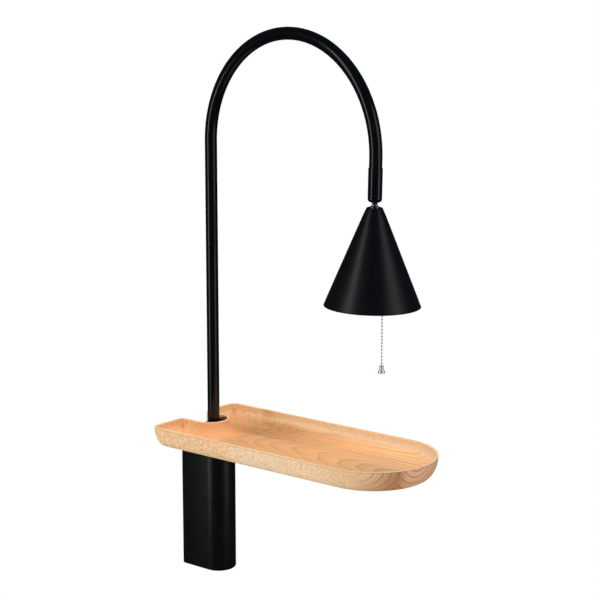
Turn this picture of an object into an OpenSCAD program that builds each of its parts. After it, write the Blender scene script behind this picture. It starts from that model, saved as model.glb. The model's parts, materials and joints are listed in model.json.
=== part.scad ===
// Wall lamp with shelf: a wall housing that carries a wooden tray and an arched tube lamp with a
// cone shade on a ball joint. Origin: centre of the wall bracket's screw pattern, on the wall plane.
// +Z is up, -Y points away from the wall. All sizes are in millimetres.

/* [Housing] */
// Width of the wall housing
housing_w = 46; // [44:1:56]
// Depth of the housing, from the wall to its rounded front
housing_d = 68; // [66:1:80]
// Height of the housing
housing_h = 178; // [170:1:220]
// Wall of the housing shell
housing_wall = 2; // [1.2:0.1:3]
// Radius of the rounded lower edge of the housing
housing_edge_r = 3; // [1:0.5:5]
// Thickness of the plate that closes the housing at the bottom
base_t = 3; // [2:0.5:5]
// Thickness of the plate inside the top of the housing
cap_t = 4; // [3:0.5:6]

/* [Wall bracket] */
// Width of the wall bracket
bracket_w = 38; // [34:1:40]
// Sheet thickness of the wall bracket
bracket_t = 2; // [1.5:0.5:3]
// Distance between the two wall screws
wall_screw_pitch = 120; // [100:1:130]
// Width of the slots for the wall screws
wall_slot_w = 5; // [4:0.5:6]
// Length of the slots for the wall screws
wall_slot_l = 10; // [8:0.5:14]
// Length of the bracket's lower lug
lug_l = 22; // [18:1:26]
// Thickness of the bracket's lower lug
lug_t = 2.5; // [2:0.5:4]
// Width of each tongue that hooks into the top plate
tongue_w = 6; // [4:0.5:8]
// Distance between the middles of the two tongues
tongue_pitch = 26; // [22:1:28]

/* [Wiring] */
// Radius of the hole through the rubber grommet for the mains cable
cable_entry_r = 4.5; // [3.5:0.5:5]
// Height of the grommet below the middle of the bracket
grommet_drop = 36; // [32:1:42]
// Radius of the round leads inside the lamp
lead_r = 3; // [2:0.25:3]
// Width of the terminal block
block_w = 28; // [24:1:32]
// Height of the terminal block
block_h = 18; // [14:1:20]
// Depth of the terminal block
block_d = 16; // [12:1:17]
// Height of the terminal block's middle below the middle of the bracket
block_drop = 13; // [12:1:15]
// Number of poles of the terminal block
poles = 3; // [2:1:3]

/* [Tray] */
// Width of the tray
tray_w = 165; // [150:1:200]
// Length of the tray, out from the wall
tray_l = 385; // [330:1:440]
// Height of the tray
tray_h = 28; // [26:1:36]
// Depth of the tray's basin
basin_depth = 17.5; // [14:0.5:18]
// Thickness of the tray's rim
rim_t = 2.4; // [2:0.1:4]
// Radius of the cove between the basin's walls and its floor
cove_r = 14; // [8:0.5:14]
// Radius of the tray's corners at the wall, seen from above
tray_corner_r = 12; // [6:1:20]
// Half width of the ellipse that rounds the tray's outer side
side_reach = 18; // [8:1:24]
// Half height of the ellipse that rounds the tray's outer side
side_drop = 28.6; // [28.4:0.1:40]
// Width of the slot round the post
slot_w = 45; // [40:1:60]
// Length of the slot, out from the wall
slot_l = 54.5; // [50:0.5:70]
// Radius of the slot's two corners at the wall
slot_mouth_r = 8; // [4:1:10]

/* [Post cover] */
// Depth of the post cover's top below the tray's rim
cover_drop = 3; // [1:0.5:6]
// Thickness of the post cover's top
cover_t = 2; // [1.5:0.5:3]
// Wall of the post cover's skirt
cover_wall = 1.6; // [1.2:0.2:2.4]

/* [Tray plate] */
// Width of the steel plate let into the underside of the tray
plate_w = 96; // [80:1:110]
// Length of the steel plate
plate_l = 103; // [90:1:130]
// Thickness of the steel plate
plate_t = 3; // [2:0.5:4]
// Corner radius of the steel plate
plate_corner_r = 10; // [4:1:16]
// Distance of the steel plate from the wall
plate_back = 17; // [16:0.5:22]
// Radius of the wood screws' shanks
wood_screw_r = 2; // [1.5:0.25:2.5]
// Length of the wood screws
wood_screw_l = 9; // [7:0.5:9]

/* [Arm] */
// Outer diameter of the arched tube
tube_d = 16; // [14:0.5:18]
// Wall of the arched tube
tube_wall = 1.5; // [1:0.1:2]
// Distance from the wall to the axis of the upright post
post_y = 37.5; // [36:0.5:40]
// Height of the arch's spring line above the tray's rim
post_rise = 373.5; // [250:0.5:450]
// Radius of the arch at the tube's centre line
arch_r = 141; // [100:1:180]
// Angle that the arch turns through
arch_sweep = 181.2; // [176:0.1:186]
// Straight length of tube after the arch
leg_l = 36.5; // [30:0.5:80]
// Angle of the arm from the tray's centre line
arm_turn = -4; // [-20:1:20]
// Swivel of the arm to each side of the tray's centre line
arm_swing = 75; // [30:1:80]

/* [Post bearing] */
// Wall of the two nylon bushes
bush_wall = 1.95; // [1.5:0.05:2.5]
// Length of the upper bush
upper_bush_l = 25; // [15:1:30]
// Length of the lower bush
lower_bush_l = 15; // [10:1:18]
// Wall of the bearing sleeve
sleeve_wall = 2; // [1.5:0.5:3]
// Length of the bearing sleeve below the housing's top plate
sleeve_l = 72; // [68:1:76]
// Thickness of the sleeve's flange and of its floor
sleeve_t = 4; // [3:0.5:5]
// Thickness of the washer under the post
washer_t = 1.5; // [1:0.5:3]
// Radius of the circle of screws that hold sleeve, top plate and tray plate together
cap_screw_circle_r = 16; // [15:0.5:16.5]
// Shank radius of the M4 machine screws
m4_r = 2; // [1.9:0.05:2.1]

/* [Ball joint] */
// Radius of the ball
ball_r = 6.2; // [6:0.1:6.4]
// Outer radius of the two plastic ball seats
seat_r = 7.6; // [7.4:0.1:7.8]
// Outer radius of the ball socket at the end of the tube
socket_r = 8.7; // [8.5:0.1:10]
// Length of socket that is pushed over the tube
socket_grip = 25; // [15:1:30]
// Distance from the end of the tube to the middle of the ball
socket_depth = 12; // [11:0.5:20]
// Distance from the middle of the ball down to the socket's mouth
mouth_drop = 3.9; // [3.8:0.05:4.2]
// Radius of the socket's mouth
mouth_r = 5.6; // [5.4:0.1:5.8]
// Thickness of the socket's lip
lip_t = 1; // [0.8:0.1:1.2]
// Thickness of the ring that holds the seats
ring_t = 3; // [2:0.5:4]
// Radius of the hollow stem through the ball
stem_r = 3.2; // [2.8:0.1:3.2]
// Radius of the stem's bore for the leads
stem_bore_r = 2; // [1.5:0.1:2.2]

/* [Shade] */
// Radius of the shade at its rim
shade_r = 59.3; // [50:0.1:70]
// Height of the shade
shade_h = 120; // [116:1:140]
// Radius of the shade's flat top
shade_top_r = 8.5; // [8:0.1:12]
// Sheet thickness of the shade
shade_wall = 1; // [0.8:0.1:1.6]
// Radius of the rounded edge round the shade's top
shade_top_edge_r = 1.2; // [0.5:0.1:2]
// Distance from the socket's mouth down to the shade's top
neck_l = 6.5; // [6:0.5:10]
// Radius of the collar's narrow neck
neck_r = 3.8; // [3.6:0.1:4]
// Radius of the collar's foot on the shade
collar_r = 6.1; // [5.5:0.1:8]
// Turn of the lamp holder, and of the pull chain, from the arm's plane
pull_turn = -15.7; // [-90:0.1:90]

/* [Lamp holder] */
// Distance from the shade's top down to the lamp holder
holder_drop = 17.6; // [17:0.1:22]
// Radius of the lamp holder
holder_r = 14; // [13:0.5:14.5]
// Height of the lamp holder
holder_h = 46; // [46:1:50]
// Outer radius of the screw shell for an E14 lamp
shell_r = 7.5; // [7.5:0.1:8]
// Height of the screw shell
shell_h = 22; // [20:1:24]
// Radius of the lamp's screw cap
lamp_cap_r = 6.8; // [6.6:0.1:6.9]
// Radius of the tubular lamp
lamp_r = 12.5; // [10:0.5:13]
// Length of the tubular lamp below its cap
lamp_l = 45.5; // [40:0.5:48]
// Wall of the lamp's glass
glass_wall = 0.8; // [0.5:0.1:1]

/* [Pull switch] */
// Distance of the pull chain from the shade's axis
pull_offset = 20; // [18:0.5:21]
// Outer radius of the switch pod on the side of the lamp holder
pod_r = 5.5; // [5:0.25:6]
// Height of the switch pod
pod_h = 21; // [20:0.5:21.5]
// Travel of the pull switch
pull_travel = 6; // [4:0.5:6]
// Radius of the plunger's head
plunger_r = 3.1; // [2.8:0.1:3.4]
// Radius of the plunger's rod
rod_r = 1.2; // [1:0.1:1.5]
// Radius of a bead of the chain
bead_r = 1.5; // [1.2:0.05:1.6]
// Distance from bead to bead
bead_pitch = 4.15; // [3.6:0.05:5]
// Number of beads
bead_count = 27; // [10:1:40]
// Radius of the wire between the beads
bead_wire_r = 0.45; // [0.3:0.05:0.7]
// Radius of the bell pull at its top
bell_top_r = 3; // [2.5:0.1:3.5]
// Radius of the bell pull at its mouth
bell_r = 4.6; // [4:0.1:6]
// Height of the bell pull
bell_h = 9.2; // [8:0.1:14]

/* [Hidden] */
$fn = 96;

// Colours
black = "#1d1d20";
wood = "#dfb480";
steel = "#8f9398";
nickel = "#b9b4a8";
brass = "#c9a85c";
nylon = "#e6e3da";
rubber = "#2a2a2a";
plastic = "#303236";
opal = "#f4f1e8";

// Clearances
run_gap = 0.05;       // radial, between a turning piece and its bore
seat_gap = 0.1;       // between pieces that are fixed together
screw_gap = 0.1;      // radial, round a screw
slot_gap = 0.3;       // round the bracket's tongues, the tray plate and the post cover
cover_run = 0.5;      // radial, between the post cover and the post
eps = 0.01;
through = 1;          // how far a cutter runs past a face

// Heights of the housing stack
housing_bottom = -housing_h / 2;
housing_top = housing_h / 2;
rim_z = housing_top + tray_h;
floor_z = rim_z - basin_depth;
plate_top = housing_top + plate_t;
cap_bottom = housing_top - cap_t;
flange_bottom = cap_bottom - sleeve_t;

// Plan of the housing
housing_r = housing_w / 2;
housing_straight = housing_d - housing_r;

// Post and bearing radii
tube_r = tube_d / 2;
tube_bore_r = tube_r - tube_wall;
bush_bore_r = tube_r + run_gap;
bush_r = bush_bore_r + bush_wall;
sleeve_bore_r = bush_r + seat_gap / 2;
sleeve_r = sleeve_bore_r + sleeve_wall;
sleeve_bottom = cap_bottom - sleeve_l;
sleeve_floor = sleeve_bottom + sleeve_t;
washer_top = sleeve_floor + washer_t;
post_bottom = washer_top + run_gap;
lead_hole_r = lead_r + 0.6;
lead_joint_gap = 0.3;

// Screws
m4_hole_r = m4_r + screw_gap;
m4_head_r = m4_r * 1.75;
m4_head_h = 2.4;
flange_r = cap_screw_circle_r + m4_r + 1.4;
stop_boss_r = 5;
stop_boss_l = 5;
stop_tip_r = tube_bore_r + 0.3;
stop_screw_l = sleeve_r + stop_boss_l - stop_tip_r;
stop_z = (washer_top + lower_bush_l + plate_top - upper_bush_l) / 2;
stop_slot_extra = asin(m4_r / tube_bore_r) + 1;

// Arch
spring_z = rim_z + post_rise;
arch_end_y = -arch_r * (1 - cos(arch_sweep));
arch_end_z = spring_z + arch_r * sin(arch_sweep);
lean = arch_sweep - 180;
ball_drop = leg_l + socket_depth;
ball_at = [0, arch_end_y + ball_drop * sin(lean), arch_end_z - ball_drop * cos(lean)];

// Ball joint, measured from the middle of the ball
ball_seat_r = ball_r + run_gap;
cavity_r = seat_r + run_gap;
seat_taper_z = -0.4;
lip_top_z = -mouth_drop + lip_t;
seat_bottom_z = lip_top_z + run_gap;
seat_bottom_r = mouth_r + 0.55;
seat_split = 0.2;
upper_seat_top = ball_r;
upper_seat_bore_r = 4;
ring_z = upper_seat_top + 0.2;
ring_bore_r = lead_r + 0.3;
ring_key_r = 0.8;
ball_flat_z = 4.8;
stem_head_z = 3.5;
stem_head_r = stem_r + 0.6;
stem_bore_clear_r = stem_r + run_gap;

// Shade, measured from the middle of the ball
shade_top_z = -mouth_drop - neck_l;
shade_rim_z = shade_top_z - shade_h;
shade_slope = (shade_r - shade_top_r) / shade_h;
shade_wall_x = shade_wall * sqrt(1 + shade_slope * shade_slope);
shade_plate_t = 1.6;
collar_top_z = -mouth_drop - 2.5;
collar_foot_t = 1;
collar_flare = 1.8;
nut_t = 3.5;
nut_r = 5.6;

// Lamp holder, measured from the middle of the ball
holder_top_z = shade_top_z - holder_drop;
holder_bottom_z = holder_top_z - holder_h;
holder_neck_r = 8;
holder_shoulder = 8;
holder_bore_r = shell_r + seat_gap;
stem_in_holder = 6;
stem_bottom_z = holder_top_z - stem_in_holder;
shell_top_z = holder_bottom_z + 2 + shell_h;
shell_wall = 0.5;
holder_cavity_z = shell_top_z + 2;
lamp_cap_h = 19;
lamp_cap_top_z = holder_bottom_z + 3 + lamp_cap_h;
lamp_neck_z = holder_bottom_z + 3;
lamp_shoulder = 9;
lamp_bottom_z = lamp_neck_z - lamp_l;
contact_r = 2.2;

// Pull switch, measured from the middle of the ball
pod_bottom_z = holder_bottom_z;
pod_top_z = pod_bottom_z + pod_h;
pod_bore_r = plunger_r + run_gap;
pod_lid = 2;
plunger_head_h = 2;
plunger_head_z = pod_top_z - pod_lid - 0.5;
guide_seat_h = 4;
guide_lip_h = 4;
guide_lip_r = 4.2;
guide_top_z = pod_bottom_z + guide_seat_h;
spring_r = plunger_r - 0.2;
spring_bore_r = rod_r + 0.3;
eye_r = 2;
eye_hole_r = 0.9;
eye_t = 1.6;
eye_z = pod_bottom_z - guide_lip_h - pull_travel / 3 - eye_r;

// Chain, measured down from the eye at the end of the plunger
link_wire_r = 0.4;
hook_ring_r = 2;
clasp_ring_r = 1.5;
clasp_pivot = 2 * hook_ring_r - 2 * link_wire_r - 0.1;
clasp_bottom = clasp_pivot + 2 * clasp_ring_r;
first_bead = clasp_bottom + bead_r;
last_bead = first_bead + (bead_count - 1) * bead_pitch;
bell_top = last_bead + bead_r + 1.2;
bell_wall = 0.9;

// ---- Placement ----

function turn_z(p, a) = [p.x * cos(a) - p.y * sin(a), p.x * sin(a) + p.y * cos(a), p.z];
function turn_x(p, a) = [p.x, p.y * cos(a) - p.z * sin(a), p.y * sin(a) + p.z * cos(a)];
function head_to_world(p) =
    turn_z(turn_x(turn_z(p, pull_turn), lean) + ball_at, arm_turn) + [0, -post_y, 0];

module at_post() translate([0, -post_y, 0]) children();

module at_arm() at_post() rotate([0, 0, arm_turn]) children();

// The ball's frame, with its Z axis along the end of the tube
module at_ball() at_arm() translate(ball_at) rotate([lean, 0, 0]) children();

// The lamp holder's frame, turned so that the pull switch lies towards -Y
module at_holder() at_ball() rotate([0, 0, pull_turn]) children();

// The chain's frame: it hangs plumb from the eye of the plunger
module at_chain()
    translate(head_to_world([0, -pull_offset, eye_z]))
        rotate([0, 0, arm_turn + pull_turn])
            children();

module at_cap_screws()
    at_post() for (a = [45 : 90 : 315]) rotate([0, 0, a]) translate([cap_screw_circle_r, 0, 0]) children();

function tray_screw_points() = [
    for (sx = [-1, 1]) for (fy = [0.12, 0.62, 0.92])
        [sx * (plate_w / 2 - 9), -plate_back - fy * plate_l]
];

// ---- Shared shapes ----

// A ring between two radii
module tube(r_out, r_in, h)
    difference() {
        cylinder(r = r_out, h = h);
        translate([0, 0, -through]) cylinder(r = r_in, h = h + 2 * through);
    }

// Plan outline with straight sides out from the wall and a round front
module round_front_plan(half_w, straight, back = 0) {
    translate([-half_w, -straight]) square([2 * half_w, straight - back]);
    translate([0, -straight]) circle(half_w);
}

// Solid of a half section, x out from the middle and y up: straight out from the wall, then round
module round_front_solid(straight) {
    rotate([90, 0, 0]) linear_extrude(straight) {
        children();
        mirror([1, 0]) children();
    }
    translate([0, -straight, 0]) rotate([0, 0, 180]) rotate_extrude(angle = 180) children();
}

// Round bar or bore along the arm's centre line, from the post's foot to the end of the leg
module arm_path(r, foot_z, leg) {
    translate([0, 0, foot_z]) cylinder(r = r, h = spring_z - foot_z);
    translate([0, -arch_r, spring_z]) rotate([90, 0, 90])
        rotate_extrude(angle = arch_sweep) translate([arch_r, 0]) circle(r);
    translate([0, arch_end_y, arch_end_z]) rotate([lean, 0, 0]) translate([0, 0, -leg])
        cylinder(r = r, h = leg);
}

// Pan-head screw along +Z: its head hangs below z = 0 and its shank rises from there
module pan_screw(r, length, head_r, head_h) {
    difference() {
        translate([0, 0, -head_h]) cylinder(r = head_r, h = head_h);
        translate([0, 0, -head_h - through]) cylinder(r = r * 0.7, h = through + head_h * 0.55, $fn = 6);
    }
    translate([0, 0, -eps]) cylinder(r = r, h = length + eps);
}

// Countersunk screw along +Z, its flat head at z = 0
module flat_screw(r, length, head_r) {
    difference() {
        union() {
            cylinder(r1 = head_r, r2 = r, h = head_r - r);
            cylinder(r = r, h = length);
        }
        for (a = [0, 90]) rotate([0, 0, a])
            translate([-head_r * 0.55, -head_r * 0.1, -through])
                cube([head_r * 1.1, head_r * 0.2, through + head_r * 0.3]);
    }
}

module flat_screw_hole(r, length, head_r) {
    translate([0, 0, -eps]) cylinder(r1 = head_r + screw_gap, r2 = r + screw_gap, h = head_r - r + eps);
    translate([0, 0, -through]) cylinder(r = r + screw_gap, h = length + through);
}

// ---- Wall bracket and housing ----

module wall_slots()
    for (sz = [-1, 1]) translate([0, through, sz * wall_screw_pitch / 2]) rotate([90, 0, 0])
        linear_extrude(bracket_t + 2 * through) {
            translate([-wall_slot_w / 2, -(wall_slot_l - wall_slot_w) / 2])
                square([wall_slot_w, wall_slot_l - wall_slot_w]);
            for (s = [-1, 1]) translate([0, s * (wall_slot_l - wall_slot_w) / 2]) circle(wall_slot_w / 2);
        }

bracket_bottom = housing_bottom + base_t;
housing_screw_y = -lug_l * 0.55;
grommet_body_r = cable_entry_r + 3.4;
grommet_flange_r = grommet_body_r + 2;
grommet_flange_t = 2;
earth_x = bracket_w / 2 - 6.5;
earth_z = -grommet_drop - 15;
block_screw_x = block_w / 2 - 2.6;
m3_r = 1.5;

module wall_bracket()
    color(steel) difference() {
        union() {
            translate([-bracket_w / 2, -bracket_t, bracket_bottom])
                cube([bracket_w, bracket_t, cap_bottom - bracket_bottom]);
            translate([-bracket_w / 2, -lug_l, bracket_bottom]) cube([bracket_w, lug_l, lug_t]);
            for (s = [-1, 1]) translate([s * tongue_pitch / 2 - tongue_w / 2, -bracket_t, cap_bottom - eps])
                cube([tongue_w, bracket_t, cap_t - slot_gap]);
        }
        wall_slots();
        translate([0, 0, -grommet_drop]) rotate([90, 0, 0])
            translate([0, 0, -through]) cylinder(r = grommet_body_r + seat_gap, h = bracket_t + 2 * through);
        translate([0, housing_screw_y, bracket_bottom - through])
            cylinder(r = m4_hole_r, h = lug_t + 2 * through);
        translate([earth_x, through, earth_z]) rotate([90, 0, 0])
            cylinder(r = m4_hole_r, h = bracket_t + 2 * through);
        for (s = [-1, 1]) translate([s * block_screw_x, through, -block_drop]) rotate([90, 0, 0])
            cylinder(r = m3_r + screw_gap, h = bracket_t + 2 * through);
    }

module housing()
    color(black) difference() {
        translate([0, 0, housing_bottom]) round_front_solid(housing_straight) {
            square([housing_r - housing_edge_r, housing_h]);
            translate([0, housing_edge_r]) square([housing_r, housing_h - housing_edge_r]);
            translate([housing_r - housing_edge_r, housing_edge_r]) circle(housing_edge_r);
        }
        translate([0, 0, housing_bottom - through]) linear_extrude(housing_h + 2 * through)
            round_front_plan(housing_r - housing_wall, housing_straight, -through);
    }

module inner_plate(z, t)
    translate([0, 0, z]) linear_extrude(t)
        round_front_plan(housing_r - housing_wall - seat_gap, housing_straight);

module base_plate()
    color(black) difference() {
        inner_plate(housing_bottom, base_t);
        translate([0, housing_screw_y, housing_bottom]) flat_screw_hole(m4_r, base_t + through, m4_r * 2);
    }

module cap_plate()
    color(steel) difference() {
        inner_plate(cap_bottom, cap_t);
        translate([0, 0, cap_bottom - through]) {
            at_post() cylinder(r = sleeve_bore_r, h = cap_t + 2 * through);
            at_cap_screws() cylinder(r = m4_hole_r, h = cap_t + 2 * through);
        }
        for (s = [-1, 1])
            translate([
                s * tongue_pitch / 2 - tongue_w / 2 - slot_gap,
                -bracket_t - slot_gap,
                cap_bottom - through
            ])
                cube([tongue_w + 2 * slot_gap, bracket_t + slot_gap + through, cap_t + 2 * through]);
    }

module housing_screw()
    color(black) translate([0, housing_screw_y, housing_bottom])
        flat_screw(m4_r, base_t + lug_t + 1.5, m4_r * 2);

// ---- Tray ----

// How far the tray's outer side has drawn in at a depth below the rim
function side_inset(depth) = side_reach * (1 - sqrt(max(0, 1 - pow(depth / side_drop, 2))));

side_steps = 14;
tray_half = tray_w / 2;
tray_straight = tray_l - tray_half;
basin_half = tray_half - rim_t;

module tray_half_section()
    polygon(concat(
        [[0, 0]],
        [for (i = [side_steps : -1 : 0])
            let (d = tray_h * i / side_steps)
            [tray_half - side_inset(d), tray_h - d]],
        [[0, tray_h]]
    ));

// The tray's end at the wall, drawn in like its sides: x out of the wall and y up
module wall_end_section()
    polygon(concat(
        [[-tray_l - through, tray_h + through], [-tray_l - through, -through]],
        [[-side_inset(tray_h), -through]],
        [for (i = [side_steps : -1 : 0])
            let (d = tray_h * i / side_steps)
            [-side_inset(d), tray_h - d]],
        [[0, tray_h + through]]
    ));

module wall_end()
    translate([-tray_half - through, 0, housing_top]) rotate([90, 0, 90])
        linear_extrude(tray_w + 2 * through) wall_end_section();

// What the tray's two rounded corners at the wall take away
module wall_corner_cuts()
    for (s = [0, 1]) mirror([s, 0, 0])
        translate([-tray_half + tray_corner_r, -tray_corner_r, housing_top]) difference() {
            side = tray_corner_r + through;
            translate([-side, 0, -through]) cube([side, side, tray_h + 2 * through]);
            rotate_extrude() polygon(concat(
                [[0, -2 * through]],
                [for (i = [side_steps : -1 : 0])
                    let (d = tray_h * i / side_steps)
                    [max(eps, tray_corner_r - side_inset(d)), tray_h - d]],
                [[tray_corner_r, tray_h + 2 * through], [0, tray_h + 2 * through]]
            ));
        }

// Plan of the tray with its two rounded corners at the wall, drawn in by an inset
module tray_plan(inset) {
    r = tray_corner_r - inset;
    half = tray_half - inset;
    translate([0, -tray_straight]) circle(half);
    translate([-half, -tray_straight]) square([2 * half, tray_straight - tray_corner_r]);
    translate([-half + r, -tray_corner_r - eps]) square([2 * (half - r), tray_corner_r - inset + eps]);
    for (s = [-1, 1]) translate([s * (half - r), -tray_corner_r]) circle(r);
}

module slot_plan(grow = 0)
    round_front_plan(slot_w / 2 + grow, slot_l - slot_w / 2, -through - grow);

// Section of a wall with a cove at its foot: x away from the wall's outer face, y up from the floor
module coved_wall_section() {
    square([rim_t, basin_depth + through]);
    difference() {
        square([rim_t + cove_r, cove_r]);
        translate([rim_t + cove_r, cove_r]) circle(cove_r);
    }
}

module coved_basin_half_section()
    difference() {
        square([basin_half, basin_depth + through]);
        translate([basin_half - cove_r, -eps]) difference() {
            square([cove_r + eps, cove_r + eps]);
            translate([0, cove_r + eps]) circle(cove_r);
        }
    }

// The wall round the slot, coved out into the basin's floor
module slot_wall()
    translate([0, 0, floor_z]) {
        for (s = [0, 1]) mirror([s, 0, 0]) translate([slot_w / 2, 0, 0]) rotate([90, 0, 0])
            linear_extrude(slot_l - slot_w / 2) coved_wall_section();
        translate([0, -(slot_l - slot_w / 2), 0]) rotate([0, 0, 180])
            rotate_extrude(angle = 180) translate([slot_w / 2, 0]) coved_wall_section();
    }

// The basin's back wall, coved too
module back_wall()
    translate([-tray_half, 0, floor_z]) rotate([90, 0, 90]) linear_extrude(tray_w)
        mirror([1, 0]) coved_wall_section();

// Material left outside a rounded corner of radius r, whose two sides meet at the origin
module corner_fill(r)
    difference() {
        translate([-r, -r]) square([r, r]);
        translate([-r, -r]) circle(r);
    }

module at_slot_mouth(inset)
    for (s = [0, 1]) mirror([s, 0, 0])
        translate([-slot_w / 2 - inset, -inset, 0]) children();

module basin()
    difference() {
        intersection() {
            translate([0, 0, floor_z]) round_front_solid(tray_straight) coved_basin_half_section();
            translate([0, 0, floor_z - through]) linear_extrude(basin_depth + 3 * through) tray_plan(rim_t);
        }
        slot_wall();
        back_wall();
        at_slot_mouth(rim_t) translate([0, 0, floor_z])
            linear_extrude(basin_depth + through) corner_fill(slot_mouth_r - rim_t);
    }

module plate_plan(grow)
    translate([0, -plate_back - plate_l / 2]) {
        w = plate_w + 2 * grow;
        l = plate_l + 2 * grow;
        r = plate_corner_r + grow;
        square([w - 2 * r, l], center = true);
        square([w, l - 2 * r], center = true);
        for (sx = [-1, 1]) for (sy = [-1, 1]) translate([sx * (w / 2 - r), sy * (l / 2 - r)]) circle(r);
    }

module tray()
    color(wood) difference() {
        intersection() {
            translate([0, 0, housing_top]) round_front_solid(tray_straight) tray_half_section();
            wall_end();
        }
        wall_corner_cuts();
        basin();
        translate([0, 0, housing_top - through]) linear_extrude(tray_h + 2 * through) slot_plan();
        at_slot_mouth(0) translate([0, 0, housing_top - through])
            linear_extrude(tray_h + 2 * through) corner_fill(slot_mouth_r);
        translate([0, 0, housing_top - through])
            linear_extrude(plate_t + screw_gap + through) plate_plan(slot_gap);
        for (p = tray_screw_points()) translate([p.x, p.y, plate_top])
            cylinder(r = wood_screw_r + screw_gap, h = wood_screw_l - plate_t + slot_gap);
    }

module tray_plate()
    color(black) difference() {
        translate([0, 0, housing_top]) linear_extrude(plate_t) plate_plan(0);
        translate([0, 0, housing_top - through]) {
            at_post() cylinder(r = sleeve_bore_r, h = plate_t + 2 * through);
            at_cap_screws() cylinder(r = m4_hole_r, h = plate_t + 2 * through);
        }
        for (p = tray_screw_points()) translate([p.x, p.y, housing_top])
            flat_screw_hole(wood_screw_r, plate_t + through, wood_screw_r * 2);
    }

module tray_screws()
    color(steel) for (p = tray_screw_points()) translate([p.x, p.y, housing_top])
        flat_screw(wood_screw_r, wood_screw_l, wood_screw_r * 2);

// ---- Post cover ----

cover_top = rim_z - cover_drop;
cover_y = slot_l - slot_w / 2;

// Plan of the cover, drawn in by an inset: the round end of the tray's slot, notched for the post
module cover_plan(inset)
    difference() {
        translate([0, -cover_y]) intersection() {
            circle(slot_w / 2 - slot_gap - inset);
            translate([-slot_w, -slot_w - inset]) square([2 * slot_w, slot_w]);
        }
        translate([0, -post_y]) circle(tube_r + cover_run + inset);
    }

// A moulded cover that stands on the tray plate and closes the slot in front of the post
module post_cover()
    color(plastic) difference() {
        translate([0, 0, plate_top]) linear_extrude(cover_top - plate_top) cover_plan(0);
        translate([0, 0, plate_top - through])
            linear_extrude(cover_top - plate_top - cover_t + through) cover_plan(cover_wall);
    }

// ---- Post bearing ----

module cap_screws()
    color(steel) at_cap_screws() translate([0, 0, flange_bottom])
        pan_screw(m4_r, plate_top - flange_bottom - slot_gap, m4_head_r, m4_head_h);

module post_sleeve()
    color(steel) at_post() difference() {
        union() {
            translate([0, 0, sleeve_bottom]) cylinder(r = sleeve_r, h = sleeve_l);
            translate([0, 0, flange_bottom]) cylinder(r = flange_r, h = sleeve_t);
            translate([0, 0, stop_z]) rotate([-90, 0, 0])
                cylinder(r = stop_boss_r, h = sleeve_r + stop_boss_l);
        }
        translate([0, 0, sleeve_floor]) cylinder(r = sleeve_bore_r, h = sleeve_l);
        translate([0, 0, sleeve_bottom - through]) cylinder(r = lead_hole_r, h = sleeve_t + 2 * through);
        translate([0, 0, stop_z]) rotate([-90, 0, 0])
            cylinder(r = m4_hole_r, h = sleeve_r + stop_boss_l + through);
        rotate([0, 0, 45]) for (a = [0 : 90 : 270]) rotate([0, 0, a])
            translate([cap_screw_circle_r, 0, flange_bottom - through])
                cylinder(r = m4_hole_r, h = sleeve_t + 2 * through);
    }

module upper_bush()
    color(nylon) at_post() translate([0, 0, plate_top - upper_bush_l])
        tube(bush_r, bush_bore_r, upper_bush_l);

module lower_bush()
    color(nylon) at_post() translate([0, 0, washer_top]) tube(bush_r, bush_bore_r, lower_bush_l);

module thrust_washer()
    color(nylon) at_post() translate([0, 0, sleeve_floor]) tube(bush_r, lead_hole_r, washer_t);

module stop_screw()
    color(steel) at_post() translate([0, 0, stop_z]) rotate([-90, 0, 0])
        translate([0, 0, stop_tip_r]) difference() {
            cylinder(r = m4_r, h = stop_screw_l);
            translate([0, 0, stop_screw_l - m4_r]) cylinder(r = m4_r / 2, h = m4_r + through, $fn = 6);
        }

// ---- Wiring in the housing ----

block_screw_recess = 3;
block_pole_pitch = (block_w - 10) / 3;

module at_terminals()
    for (i = [0 : poles - 1]) for (sz = [-1, 1])
        translate([
            (i - (poles - 1) / 2) * block_pole_pitch,
            -bracket_t - block_d,
            -block_drop + sz * block_h * 0.36
        ]) rotate([-90, 0, 0]) children();

module terminal_block()
    color(nylon) difference() {
        translate([-block_w / 2, -bracket_t - block_d, -block_drop - block_h / 2])
            cube([block_w, block_d, block_h]);
        at_terminals() translate([0, 0, -through])
            cylinder(r = m3_r + screw_gap, h = 2 * block_screw_recess + through);
        for (s = [-1, 1]) translate([s * block_screw_x, -bracket_t - block_d - through, -block_drop])
            rotate([-90, 0, 0]) cylinder(r = m3_r + screw_gap, h = block_d + 2 * through);
    }

module terminal_screws()
    color(brass) at_terminals() translate([0, 0, block_screw_recess - 1.5]) difference() {
        cylinder(r = m3_r, h = block_screw_recess);
        translate([-m3_r, -0.3, -through]) cube([2 * m3_r, 0.6, through + 0.8]);
    }

module block_screws()
    color(steel) for (s = [-1, 1]) translate([s * block_screw_x, -bracket_t - block_d, -block_drop])
        rotate([-90, 0, 0]) pan_screw(m3_r, block_d + bracket_t - 0.2, m3_r * 1.7, 1.6);

module cable_grommet()
    color(rubber) translate([0, 0, -grommet_drop]) rotate([90, 0, 0]) difference() {
        union() {
            cylinder(r = grommet_body_r, h = bracket_t + grommet_flange_t);
            translate([0, 0, bracket_t]) cylinder(r = grommet_flange_r, h = grommet_flange_t);
        }
        translate([0, 0, -through])
            cylinder(r = cable_entry_r, h = bracket_t + grommet_flange_t + 2 * through);
    }

module earth_screw()
    color(brass) translate([earth_x, -bracket_t, earth_z]) rotate([-90, 0, 0])
        pan_screw(m4_r, bracket_t - 0.2, m4_head_r, m4_head_h);

// The lead leaves the terminal block towards the front and bends up into the post
supply_bend_r = post_y - bracket_t - block_d - 7.5;
supply_z = -block_drop;

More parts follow.
